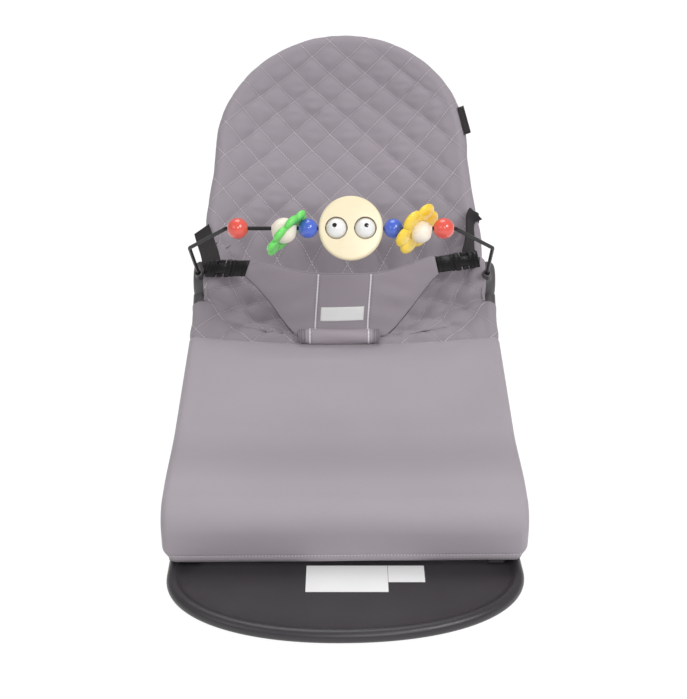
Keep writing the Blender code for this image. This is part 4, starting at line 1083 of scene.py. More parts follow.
class BOUNCER_OT_seat(bpy.types.Operator):
    """Sew the quilted back and seat, from the fold at the leg cover to the arch"""

    bl_idname = "bouncer.seat"
    bl_label = "Quilted seat"

    # Lengths of cloth below and above the top station, and its width, which set the grid's size
    low_length = 0.200
    high_length = 0.290
    cloth_width = 0.320
    station_top = 0.072
    thickness = 0.0022
    # The wrap round the tubes and the hem behind them
    wrap_start = math.radians(120)
    wrap_end = math.radians(-150)
    wrap_steps = 16
    hem_width = 0.014
    hem_steps = 3
    # Where the stitches cross nearest to the cloth's origin
    seam_x = 0.0042
    seam_up = 0.0065
    # Past this place up the back the cloth is drawn closer, at this rate
    tight_from = 0.246
    tight_rate = 0.23
    # The share of the half width in from the edge over which the cloth comes alive
    calm = 0.11
    # The middle line over the legs, in places from the front and lifts off the leg line
    under_legs = (
        (0.408, -0.0060), (0.417, -0.0050), (0.4255, -0.0030), (0.4330, 0.0030), (0.4440, -0.0040)
    )
    # The middle line round the hinge axis: angles from straight behind the back, and depths
    under_seat = (
        (93, 0.081), (85, 0.077), (77, 0.074), (70, 0.072), (63, 0.070), (56, 0.069),
        (48, 0.068), (40, 0.067), (31, 0.067), (21, 0.068), (10, 0.069),
    )
    # At each station, the share of the half width over which the cloth rises from middle to edge
    ledge = [1.0] * 5 + [0.985, 0.96, 0.93, 0.915] + [0.91] * 4 + [0.915, 0.94, 0.97] + [1.0] * 3

    def execute(self, context):
        size = sizes()
        self.make_stations()
        low_rows = round(self.low_length / size.cloth_step)
        high_rows = round(self.high_length / size.cloth_step)
        columns = round(self.cloth_width / size.cloth_step)
        last = len(self.edge) - 1
        self.rows = [last * (i / low_rows) ** 0.9 for i in range(low_rows + 1)]
        self.measure_rows()
        arch_rows = high_rows - round((ARCH_START - self.station_top) / size.cloth_step)
        straight_rows = high_rows - arch_rows
        total = low_rows + straight_rows + arch_rows

        def place(u, v):
            row = round((v + 1) / 2 * total)
            if row <= low_rows:
                return self.low_point(u, row)
            if row <= low_rows + straight_rows:
                up = blended(self.station_top, ARCH_START, (row - low_rows) / straight_rows)
                return self.back_point(u, up)
            return self.arch_point(u, (row - low_rows - straight_rows) / arch_rows)

        piece, flat = cloth_grid("quilted_seat", columns, total, place, "quilt")
        self.wrap_edges(piece, flat, columns, total, low_rows, straight_rows, arch_rows)
        for vertex in piece.data.vertices:
            shift = lean(vertex.co)
            vertex.co.x += shift
            across, up, lively = flat[vertex.index]
            flat[vertex.index] = (across + shift, up, lively)
        write_flat(piece, {index: place[:2] for index, place in flat.items()})
        face_to(piece, BACK_FRONT)
        self.puff(piece, flat)
        thicken(piece, self.thickness)
        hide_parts("back_panel", "back_binding", "seat_sling", "hip_cover_left", "hip_cover_right")
        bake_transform(piece)
        return {"FINISHED"}

    def make_stations(self):
        """The cloth's edge and middle, station by station, from the leg cover to the back tube."""
        start = self.wrap_start

        def edge(centre, slope, radius):
            """An edge point that starts a wrap of the given radius round a centre."""
            outward = X_AXIS * math.cos(start) + square_to(slope) * math.sin(start)
            return {"centre": centre, "slope": slope, "radius": radius, "point": centre + outward * radius}

        sleeve = CLOTH_WRAP - 0.0004
        thin = 0.0014

        def leg(y, lift):
            return edge(leg_line(FRONT + y) + X_AXIS * LEG_X, LEG_SLOPE, TUBE_RADIUS + lift)

        def hip(reach):
            return edge(on_hip(reach, LEG_X - 0.0015), HIP_SLOPE, sleeve)

        def around(angle, depth, x=0.0):
            """A point round the hinge axis, from straight behind the back, over its underside."""
            angle = math.radians(angle)
            return HINGE + X_AXIS * x - (BACK_FRONT * math.cos(angle) + BACK_UP * math.sin(angle)) * depth

        def rim(angle, depth=0.0285, x=0.1790):
            """An edge point on the pocket over the hinge's inner half."""
            return edge(around(angle, depth, x), HIP_SLOPE, thin)

        self.edge = [
            leg(0.408, 0.0006),
            leg(0.417, 0.0006),
            leg(0.425, 0.0010),
            edge(on_hip(0.0765, LEG_X), blended(LEG_SLOPE, HIP_SLOPE, 0.7), CLOTH_WRAP),
            *map(hip, (0.061, 0.047, 0.035)),
            rim(107, 0.0305, 0.1810),
            *map(rim, (125, 147, 169, 191, 213, 234)),
            rim(252, 0.0320, 0.1765),
            edge(on_back(0.1715, 0.047, 0.003), BACK_SLOPE, 0.007),
            edge(on_back(BACK_X, 0.055), BACK_SLOPE, sleeve),
            edge(on_back(back_tube_x(0.063), 0.063), BACK_SLOPE, CLOTH_WRAP),
            edge(on_back(back_tube_x(self.station_top), self.station_top), BACK_SLOPE, CLOTH_WRAP),
        ]
        self.middle = [
            *(leg_line(FRONT + y, lift) for y, lift in self.under_legs),
            *(around(angle, depth) for angle, depth in self.under_seat),
            *(on_back(0, up, -self.back_sag(up)) for up in (0.010, 0.040, self.station_top)),
        ]

    def back_sag(self, up):
        """How far the middle lies behind the back's plane, deepest at the seat."""
        sag = sizes().quilt_sag
        return sag + (0.070 - sag) * (1 - smooth_share(up / 0.130))

    def row_point(self, u, edge, middle, ledge=1.0):
        share = min(1.0, abs(u) / ledge) ** 2.1
        return Vector((edge.x * u, blended(middle.y, edge.y, share), blended(middle.z, edge.z, share)))

    def measure_rows(self):
        """For each low row, its edge and middle points and their places along the cloth."""
        names = ("centre", "slope", "radius", "point")
        columns = {name: [station[name] for station in self.edge] for name in names}
        self.low = []
        for place in self.rows:
            row = {name: through(columns[name], place) for name in names}
            row["middle"] = through(self.middle, place)
            row["ledge"] = min(1.0, through(self.ledge, place))
            self.low.append(row)
        for key in ("point", "middle"):
            run = self.station_top
            self.low[-1][f"{key}_run"] = run
            for i in range(len(self.low) - 2, -1, -1):
                step = (self.low[i + 1][key] - self.low[i][key]).length
                run -= min(step, 0.006)
                self.low[i][f"{key}_run"] = run

    def across_run(self, u, edge, middle, ledge=1.0):
        """The length of cloth from the middle line out to u."""
        steps = 12
        total = 0.0
        last = self.row_point(0, edge, middle)
        for i in range(1, steps + 1):
            point = self.row_point(abs(u) * i / steps, edge, middle, ledge)
            total += (point - last).length
            last = point
        return math.copysign(total, u)

    def low_point(self, u, row):
        data = self.low[row]
        limits = (data["point"], data["middle"], data["ledge"])
        point = self.row_point(u, *limits)
        up = blended(data["middle_run"], data["point_run"], abs(u) ** 2)
        across, up, lively = self.flat_place(self.across_run(u, *limits), up, 1 - abs(u))
        return point, (across, up, lively * smooth_share((self.rows[row] - 1.6) / 1.4))

    def flat_place(self, across, up, inset):
        """The flat place, drawn closer towards the top, and how lively the cloth is there."""
        tight = self.tight_rate * max(0.0, up - self.tight_from)
        return across - self.seam_x, up + tight - self.seam_up, smooth_share(inset / self.calm)

    def back_edge(self, up):
        """The edge of the panel on the back tube, where the wrap starts."""
        x = back_tube_x(up) + CLOTH_WRAP * math.cos(self.wrap_start)
        return on_back(x, up, CLOTH_WRAP * math.sin(self.wrap_start))

    def back_point(self, u, up):
        edge = self.back_edge(up)
        middle = on_back(0, up, -self.back_sag(up))
        flat = self.flat_place(self.across_run(u, edge, middle), up, 1 - abs(u))
        return self.row_point(u, edge, middle), flat

    def arch_place(self, u, v):
        """The place across and up of a grid point under the arch, from square to half ellipse."""
        wrap = CLOTH_WRAP * math.cos(self.wrap_start)
        half = ARCH_HALF_WIDTH + wrap
        rise = BACK_LENGTH - ARCH_START + wrap
        across = u * math.sqrt(1 - v * v / 2)
        upward = v * math.sqrt(1 - u * u / 2)
        swell = arch_swell(math.atan2(upward, across))
        return half * swell * across, rise * swell * upward, math.hypot(across, upward)

    def arch_point(self, u, v):
        x, up, reach = self.arch_place(u, v)
        sag = sizes().quilt_sag
        lip = CLOTH_WRAP * math.sin(self.wrap_start)
        front = -sag + (sag + lip) * reach**2.1
        edge = self.back_edge(ARCH_START)
        run = self.across_run(x / edge.x, edge, on_back(0, ARCH_START, -sag))
        return on_back(x, ARCH_START + up, front), self.flat_place(run, ARCH_START + up, 1 - reach)

    def wrap_edges(self, piece, flat, columns, total, low_rows, straight_rows, arch_rows):
        """Extrudes the side and top edges round the tubes, then inwards as a flat hem behind."""
        wide = columns + 1
        left = [row * wide for row in range(total + 1)]
        top = [total * wide + column for column in range(1, columns)]
        right = [row * wide + columns for row in range(total, -1, -1)]
        ring = left + top + right
        rows = list(range(total + 1)) + [total] * len(top) + list(range(total, -1, -1))
        places = [-1] * len(left) + [2 * c / columns - 1 for c in range(1, columns)] + [1] * len(right)
        frames = []
        for index, row, u in zip(ring, rows, places):
            if row <= low_rows:
                data = self.low[row]
                outward = X_AXIS * u
                front = square_to(data["slope"])
                radius = data["radius"]
                drift = Vector((u, 0, 0))
            else:
                radius = CLOTH_WRAP
                front = BACK_FRONT
                if row <= low_rows + straight_rows:
                    outward = X_AXIS * u
                else:
                    v = (row - low_rows - straight_rows) / arch_rows
                    outward = arch_outward(*self.arch_place(u, v)[:2])
                drift = Vector((outward.x, outward.dot(BACK_UP), 0))
            spoke = outward * math.cos(self.wrap_start) + front * math.sin(self.wrap_start)
            centre = piece.data.vertices[index].co - spoke * radius
            frames.append((centre, outward, front, radius, drift, Vector(flat[index])))
        choose(piece)
        begin_edit("DESELECT")
        shape = bmesh.from_edit_mesh(piece.data)
        shape.verts.ensure_lookup_table()
        for first, second in zip(ring, ring[1:]):
            shape.verts[first].select = True
            shape.verts[second].select = True
            shape.edges.get((shape.verts[first], shape.verts[second])).select = True
        bmesh.update_edit_mesh(piece.data)
        for step in range(1, self.wrap_steps + self.hem_steps + 1):
            turn = min(1.0, step / self.wrap_steps)
            angle = blended(self.wrap_start, self.wrap_end, turn)
            hem = max(0, step - self.wrap_steps) / self.hem_steps
            ring = step_out(piece, ring)
            points = []
            for index, (centre, outward, front, radius, drift, start) in zip(ring, frames):
                spoke = outward * math.cos(angle) + front * math.sin(angle)
                inward = self.hem_width * hem * min(1.0, radius / TUBE_RADIUS)
                points.append(centre + spoke * radius - outward * inward)
                run = radius * (self.wrap_start - angle) + inward
                flat[index] = tuple(start + drift * run)
            move_points(piece, ring, points)
        end_edit()

    def puff(self, piece, flat):
        """Raises each diamond between its stitches, with soft creases level with the crossings."""
        size = sizes()
        normals = [vertex.normal.copy() for vertex in piece.data.vertices]
        for vertex, normal in zip(piece.data.vertices, normals):
            across, up, lively = flat[vertex.index]
            columns = across / (size.quilt_width / 2)
            rows = up / (size.quilt_height / 2)
            rising = abs(math.sin(math.pi * (columns + rows) / 2))
            falling = abs(math.sin(math.pi * (columns - rows) / 2))
            swell = (rising * falling) ** 0.5
            level = abs(math.sin(math.pi * rows)) ** 0.6
            slack = 0.55 + 0.9 * uneven(across * 14, up * 14, 2.0)
            crease = 0.0025 * level * slack + 0.0013 * uneven(across * 40, up * 120, 3.0)
            hip = smooth_share((0.075 - up) / 0.05)
            fold = uneven(across * 15, up * 42, 8.0) * 0.0036 * hip
            height = size.quilt_puff * (0.8 * swell - 0.4) + crease * swell + fold
            vertex.co += normal * (height * (0.12 + 0.88 * lively))


class BOUNCER_OT_leg_cover(bpy.types.Operator):
    """Stretch the plain cover over the leg tubes, from its hem to the seat"""

    bl_idname = "bouncer.leg_cover"
    bl_label = "Leg cover"

    hem = Vector((0, FRONT + 0.119, 0.019))
    crest_y = FRONT + 0.1183
    end_y = FRONT + 0.4245
    knee_bend = 0.035
    # On each side, how far the hem's corner is drawn in and how far the cover flares at the knee
    left_shape = (0.007, 0.0025)
    right_shape = (0.006, 0.0035)
    # The share of the half width that lies flat, and the rest that wraps round the tube
    flat_share = 0.80

    def execute(self, context):
        size = sizes()
        corners = [self.hem, leg_line(self.crest_y, COVER_WRAP), leg_line(self.end_y, COVER_WRAP)]
        self.path = spaced(rounded(corners, (self.knee_bend,), math.radians(5)), size.cloth_step)
        self.runs = path_runs(self.path)
        rows = len(self.path) - 1
        columns = 120
        piece, flat = cloth_grid("leg_cover", columns, rows, self.place, "cover")
        finish_cloth(piece, flat, square_to(LEG_SLOPE), size.cloth_thickness)
        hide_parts("leg_panel")
        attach(piece, "leg_frame")
        return {"FINISHED"}

    def place(self, u, v):
        row = round((v + 1) / 2 * (len(self.path) - 1))
        run = self.runs[row]
        length = self.runs[-1]
        ahead = self.path[min(row + 1, len(self.path) - 1)] - self.path[max(row - 1, 0)]
        normal = X_AXIS.cross(ahead.normalized())
        share = run / length
        side = math.copysign(1, u)
        bend, flare = self.right_shape if side > 0 else self.left_shape
        corner = bend * (1 - smooth_share(run / 0.018)) ** 2
        level = LEG_X + 0.0008 - corner + flare * smooth_share((0.20 - run) / 0.10)
        sag = sizes().cover_sag * math.sin(math.pi * smooth_share((share - 0.10) / 0.86))
        sag += 0.0105 * smooth_share((share - 0.45) / 0.5)
        ripple = uneven(u * 2.2, run * 9, 1.0) * 0.0012
        near_top = smooth_share((share - 0.80) / 0.2)
        near_top *= 1 - 0.7 * smooth_share((share - 0.955) / 0.04)
        crumple = uneven(u * 3.0, run * 55, 5.0) * 0.0020 * near_top
        raised = self.path[row] + ahead.normalized() * 0.004 * smooth_share(1 - run / 0.05) * (u + 1) / 2
        reach = abs(u) / self.flat_share
        if reach <= 1:
            x = level * reach
            height = (1 - reach**2.4) * (ripple + crumple - sag)
            return raised + X_AXIS * side * x + normal * height, (side * x, run)
        turn = (reach - 1) / (1 / self.flat_share - 1)
        end_angle = blended(math.radians(8), math.radians(-112), smooth_share(run / 0.10))
        angle = blended(math.pi / 2, end_angle, turn)
        wrap = X_AXIS * side * math.cos(angle) + normal * (math.sin(angle) - 1)
        point = raised + X_AXIS * side * level + wrap * COVER_WRAP
        return point, (side * (level + COVER_WRAP * (math.pi / 2 - angle)), run)


class BOUNCER_OT_restraint(bpy.types.Operator):
    """Sew the T-shaped seat front, its label and the keeper at its foot"""

    bl_idname = "bouncer.restraint"
    bl_label = "Restraint"

    foot = 0.0560
    half = 0.1195
    bow = 0.010
    bow_half = 0.119
    drop = 0.004
    foot_shift = -0.0050
    # Each wing end's lower and upper limit, how far its foot is let out and its head drawn in
    tips = {"left": (0.0680, 0.0880, 0.0055, 0.0010), "right": (0.0715, 0.0925, -0.0010, 0.0060)}
    keeper_half = 0.0520

    def execute(self, context):
        piece, flat = cloth_grid("restraint_flap", 84, 34, self.place, "restraint")
        finish_cloth(piece, flat, RESTRAINT_FRONT, 0.0026, inward=False)
        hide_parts("restraint_panel")
        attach(piece, "leg_frame")
        self.edge_piping()
        self.label()
        self.keeper()
        return {"FINISHED"}

    def limits(self, x):
        """The flap's lower and upper edge at a place across it."""
        tip_low, tip_high = self.tips["left" if x < 0 else "right"][:2]
        spread = max(0.0, (abs(x) - self.foot) / (self.half - self.foot))
        low = blended(-0.004, tip_low, blended(spread, smooth_share(spread), 0.35))
        rise = smooth_share((abs(x) - 0.2 * self.foot) / (self.half - 0.2 * self.foot))
        return low, blended(0.0755, tip_high, rise**1.8)

    def slanted(self, x, share):
        """The same place, with the wing's end let out at its foot and drawn in at its head."""
        foot_out, head_in = self.tips["left" if x < 0 else "right"][2:]
        near_end = smooth_share((abs(x) / self.half - 0.7) / 0.3)
        return x + math.copysign(1, x) * blended(foot_out, -head_in, share) * near_end

    def on_flap(self, x, up, forward=0.0):
        """A point of the flap: its foot stands a little lower and to one side."""
        middle = 1 - (x / self.half) ** 2
        shift = self.foot_shift * (1 - smooth_share(up / 0.09)) * middle
        bow = self.bow * (1 - (x / self.bow_half) ** 2)
        return on_restraint(x + shift, up - self.drop * middle, bow + forward)

    def surface(self, x, up, share, lift=0.0):
        """The flap's middle surface with its soft folds, at a share of the way up it."""
        fold = uneven(x * 20, up * 34, 4.0) * 0.0022
        fold += uneven(x * 9, (up + 0.35 * abs(x)) * 60, 7.0) * 0.0034
        fold *= math.sin(math.pi * share) * min(1.0, abs(x) / self.half * 1.8)
        swell = 0.0018 * math.sin(math.pi * share) ** 0.5
        return self.on_flap(x, up, swell + fold + lift)

    def place(self, u, v):
        share = (v + 1) / 2
        x = self.slanted(u * self.half, share)
        low, high = self.limits(self.half * u)
        up = blended(low, high, share)
        return self.surface(x, up, share), (x, up)

    def edge_point(self, x, upper):
        low, high = self.limits(x)
        return self.on_flap(self.slanted(x, float(upper)), high if upper else low)

    def edge_cord(self, name, path, radius, finish):
        """A thin cord along a path, for the bound top edge and for the painted shadow lines under the
        wings.
        """
        piece = swept(name, path, circle(radius, 10), RESTRAINT_FRONT, finish)
        write_flat(piece, {v.index: (v.co.x, v.co.z) for v in piece.data.vertices})
        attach(piece, "leg_frame")

    def edge_piping(self):
        """Near-black cords under the flap's wings, painted shadow of the gap beneath their edges, and the
        bound edge over its top.
        """
        wing = self.foot + 0.004
        for name, side in SIDES.items():
            xs = [blended(wing, self.half, i / 24) for i in range(25)]
            path = [self.edge_point(side * x, False) for x in xs]
            # Painted shadow: a near-black cord along the wing's lower edge
            self.edge_cord(f"flap_edge_line_{name}", path, 0.0014, "piping")
        path = [self.edge_point(self.half * (i / 30 - 1), True) for i in range(61)]
        self.edge_cord("flap_edge_line_top", path, 0.0015, "binding")

    def label(self):
        """A blank woven label at the foot of the flap."""
        low_x, high_x = -0.0262, 0.0282
        low, high = 0.0165, 0.0345
        tilt = 0.025

        def place(u, v):
            x = blended(low_x, high_x, (u + 1) / 2)
            up = blended(low, high, (v + 1) / 2) + tilt * x
            bottom, top = self.limits(x)
            edge = 0.0003 * smooth_share(min(1 - abs(u), 1 - abs(v)) * 12)
            return self.surface(x, up, (up - bottom) / (top - bottom), 0.0019 + edge), (x, up)

        piece, flat = cloth_grid("blank_label", 30, 12, place, "label")
        finish_cloth(piece, flat, RESTRAINT_FRONT, 0.0006)
        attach(piece, "leg_frame")

    def keeper(self):
        """The rolled cloth sleeve round the flap's foot, gathered by a band at each end."""
        half = self.keeper_half
        centre = Vector((self.foot_shift - 0.0015, FRONT + 0.4285, 0.1500))
        rings = []
        steps = 90
        for i in range(steps + 1):
            x = half * (2 * i / steps - 1)
            inward = half - abs(x)
            band = smooth_share((0.0100 - inward) / 0.0012)
            rib = 0.0006 * band * math.sin(x * 2 * math.pi / 0.0029)
            groove = 0.0012 * math.exp(-(((inward - 0.0108) / 0.0010) ** 2))
            end = smooth_share(inward / 0.0022)
            radius = (0.0106 - 0.0010 * band - groove + rib) * (0.76 + 0.24 * end)
            ring = []
            for spoke in spokes(40):
                wave = 0.0004 * math.sin(3 * spoke + x * 60) * (1 - band)
                deep = (radius + wave) * math.cos(spoke)
                tall = (radius + wave) * math.sin(spoke) * 0.95
                ring.append(centre + X_AXIS * x + RESTRAINT_FRONT * deep + RESTRAINT_UP * tall)
            rings.append(ring)
        piece = drawn("keeper_sleeve", rings, "keeper", angle=60)
        write_flat(piece, {v.index: (v.co.x - centre.x, v.co.z) for v in piece.data.vertices})
        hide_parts("crotch_keeper")
        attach(piece, "leg_frame")


class BOUNCER_OT_straps(bpy.types.Operator):
    """Loop the webbing straps from the back tube to the buckles, and close the buckles"""

    bl_idname = "bouncer.straps"
    bl_label = "Straps and buckles"

    width = 0.0235
    thickness = 0.0015
    # Places on the back (x, up, front), from the folded end down to the buckle, two more on the restraint
    # in the same form, and how far the width line at each place on the back runs out, down and backwards
    routes = {
        "left": (
            ((0.1862, 0.0670, 0.0140), (0.1834, 0.0585, 0.0155), (0.1783, 0.0430, 0.0220),
             (0.1728, 0.0261, 0.0330), (0.1688, 0.0102, 0.0420)),
            ((0.1672, 0.0770, -0.0092), (0.1670, 0.0690, -0.0092)),
            ((0.79, 0.61, 0.0), (0.85, 0.52, 0.0), (0.88, 0.47, 0.0), (0.92, 0.38, 0.0),
             (0.96, 0.20, 0.0)),
        ),
        "right": (
            ((0.1722, 0.0885, 0.0160), (0.1642, 0.0782, 0.0200), (0.1629, 0.0587, 0.0230),
             (0.1612, 0.0424, 0.0280), (0.1593, 0.0265, 0.0360), (0.1591, 0.0157, 0.0420)),
            ((0.1595, 0.0900, -0.0092), (0.1600, 0.0820, -0.0092)),
            ((0.70, 0.45, 0.50), (0.50, 0.10, 0.85), (0.50, 0.0, 0.85), (0.55, 0.0, 0.80),
             (0.70, 0.0, 0.60), (0.90, 0.0, 0.30)),
        ),
    }
    # How far up the back tube each strap's fixed end goes round it
    loops = {"left": 0.0640, "right": 0.0880}
    loop_width = 0.011
    # Each buckle's middle up the restraint, its shift out, its rise to the outer end and its slant
    seats = {"left": (0.0775, 0.0, 0.0, 0.26), "right": (0.0820, -0.0042, 0.145, 0.25)}

    buckle_half = 0.011
    # The blocks of the ribbed half and the hooded half: where each starts and ends across the restraint,
    # its inset from the buckle's half width, its back and front, and its bevel
    tongue = (
        (0.1180, 0.1450, 0.0010, -0.0032, 0.0036, 0.0014),
        (0.1175, 0.1222, 0.0002, -0.0036, 0.0044, 0.0016),
        (0.1265, 0.1288, 0.0008, -0.0030, 0.0046, 0.0009),
        (0.1384, 0.1422, 0.0004, -0.0036, 0.0044, 0.0012),
    )
    socket = (
        (0.1430, 0.1505, 0.0, -0.0045, 0.0045, 0.0018),
        (0.1480, 0.1630, 0.0045, -0.0042, 0.0046, 0.0016),
        (0.1608, 0.1680, 0.0, -0.0045, 0.0045, 0.0018),
        (0.1665, 0.1740, 0.0006, -0.0032, 0.0032, 0.0014),
        (0.1615, 0.1635, 0.0010, 0.0030, 0.0056, 0.0008),
    )

    def execute(self, context):
        for name, side in SIDES.items():
            self.strap(name, side)
            self.loop(name, side)
            self.buckle(name, side)
        return {"FINISHED"}

    def ribbon(self, name, path, lines, width):
        """Webbing along a path, each of its points with its own width direction."""
        runs = path_runs(path)
        last = len(path) - 1

        def place(u, v):
            row = round((v + 1) / 2 * last)
            return path[row] + lines[row] * (u * width / 2), (u * width / 2, runs[row])

        piece, flat = cloth_grid(name, 8, last, place, "webbing")
        finish_cloth(piece, flat, TOY_OUT, self.thickness, inward=False)
        return piece

    def strap(self, name, side):
        """From its folded end on the back tube, down and forward to the back of the buckle."""
        upper, lower, turns = self.routes[name]
        points = [on_back(side * x, up, front) for x, up, front in upper]
        points += [on_restraint(side * x, up, front) for x, up, front in lower]
        lines = [X_AXIS * side * out - BACK_UP * drop - BACK_FRONT * back for out, drop, back in turns]
        lines += [X_AXIS * side] * len(lower)
        steps = 56
        last = len(points) - 1
        path = [through(points, last * i / steps) for i in range(steps + 1)]
        lines = [through(lines, last * i / steps).normalized() for i in range(steps + 1)]
        piece = self.ribbon(f"strap_web_{name}", path, lines, self.width)
        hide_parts(f"strap_{name}")
        start = on_restraint(0, 0.0915)
        on_back(0, 0.060, 0.016)
        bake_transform(piece)

    def loop(self, name, side):
        """The strap's fixed end, round the side of the back tube."""
        up = self.loops[name]
        centre = on_back(side * back_tube_x(up), up)
        centre.x += lean(centre)
        radius = CLOTH_WRAP + 0.0020
        outward = X_AXIS * side
        path = []
        for i in range(21):
            angle = blended(math.radians(68), math.radians(-120), i / 20)
            path.append(centre + (outward * math.cos(angle) + BACK_FRONT * math.sin(angle)) * radius)
        piece = self.ribbon(f"strap_loop_{name}", path, [BACK_UP] * len(path), self.loop_width)
        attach(piece, "backrest")

    def blocks(self, rows, axes):
        half = self.buckle_half
        return [
            block("part", (start, inset - half, back), (end, half - inset, front), axes, bevel, "buckle")
            for start, end, inset, back, front, bevel in rows
        ]

    def buckle(self, name, side):
        """A side-release buckle: a ribbed half, a hooded half with two windows, and two tabs."""
        middle_up, shift, rise, slant = self.seats[name]
        across = (X_AXIS * side + RESTRAINT_UP * rise).normalized()
        upward = RESTRAINT_UP - X_AXIS * side * slant
        inner = on_restraint(side * (0.1200 + shift), middle_up, -0.0030)
        axes = (inner - across * 0.1200, across, upward, RESTRAINT_FRONT)
        piece = joined(f"buckle_tongue_{name}", self.blocks(self.tongue, axes))
        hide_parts(f"buckle_male_{name}")
        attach(piece, "leg_frame")
        piece = joined(f"buckle_socket_{name}", self.blocks(self.socket, axes))
        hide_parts(f"buckle_female_{name}")
        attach(piece, "leg_frame")
        for level, sign in (("upper", 1), ("lower", -1)):
            low = (0.1520, sign * (self.buckle_half - 0.0048), -0.0026)
            high = (0.1593, sign * (self.buckle_half - 0.0002), 0.0030)
            piece = block(f"press_tab_{level}_{name}", low, high, axes, 0.0009, "buckle")
            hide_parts(f"release_tab_{level}_{name}")
            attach(piece, f"tab_{level}_{name}")


class BOUNCER_OT_tubes(bpy.types.Operator):
    """Bend the floor tube, the leg tubes, the back tube and the toy wire"""

    bl_idname = "bouncer.tubes"
    bl_label = "Tubes and wire"

    def execute(self, context):
        half = FLOOR_HALF_SPAN
        front = FRONT + 0.169
        places = ((-half, front), (-half, FLOOR_REAR), (half, FLOOR_REAR), (half, front))
        corners = [Vector((x, y, FLOOR_TUBE_HEIGHT)) for x, y in places]
        path = spaced(rounded(corners, (0.06, 0.06), math.radians(5)), 0.05)
        piece = swept("floor_rail", path, circle(FLOOR_TUBE_RADIUS, 32), Z_AXIS, "steel")
        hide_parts("floor_tube")
        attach(piece, "base")
        for name, side in SIDES.items():
            self.leg_tube(name, side)
        path = leaned(back_route())
        piece = swept("back_hoop", path, circle(TUBE_RADIUS, 32), BACK_FRONT, "steel")
        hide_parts("back_tube")
        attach(piece, "backrest")
        piece = swept("toy_rod", toy_route(), circle(WIRE_RADIUS, 24), BACK_UP, "steel")
        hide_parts("toy_wire")
        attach(piece, "toy_bar")
        return {"FINISHED"}

    def leg_tube(self, name, side):
        """A leg tube whose lower end is pressed flat round the bounce pin."""
        upward = (KNEE - BOUNCE_PIN).normalized()
        eye = BOUNCE_PIN + X_AXIS * side * LEG_FOOT_X
        steps = (-0.0068, -0.0060, -0.0035, 0.0, 0.006, 0.0095, 0.0150)
        flat_path = [eye + upward * step for step in steps]
        path = flat_path + [p for p in leg_route(side) if p.z > flat_path[-1].z + 0.003]
        flat_half = 0.0036
        flat_widths = (0.0022, 0.0040, 0.0060, 0.0068, 0.0068)

        def section(share):
            index = round(share * (len(path) - 1))
            if index < len(flat_widths):
                wide = flat_widths[index]
                return [(flat_half * squarer(math.cos(a), 0.3), wide * math.sin(a)) for a in spokes(32)]
            press = 0.55 if index == len(flat_widths) else 1.0
            across = blended(flat_half, TUBE_RADIUS, press)
            return [(across * math.cos(a), TUBE_RADIUS * math.sin(a)) for a in spokes(32)]

        piece = swept(f"leg_tube_{name}_smooth", path, section, X_AXIS, "steel")
        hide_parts(f"leg_tube_{name}")
        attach(piece, "leg_frame")


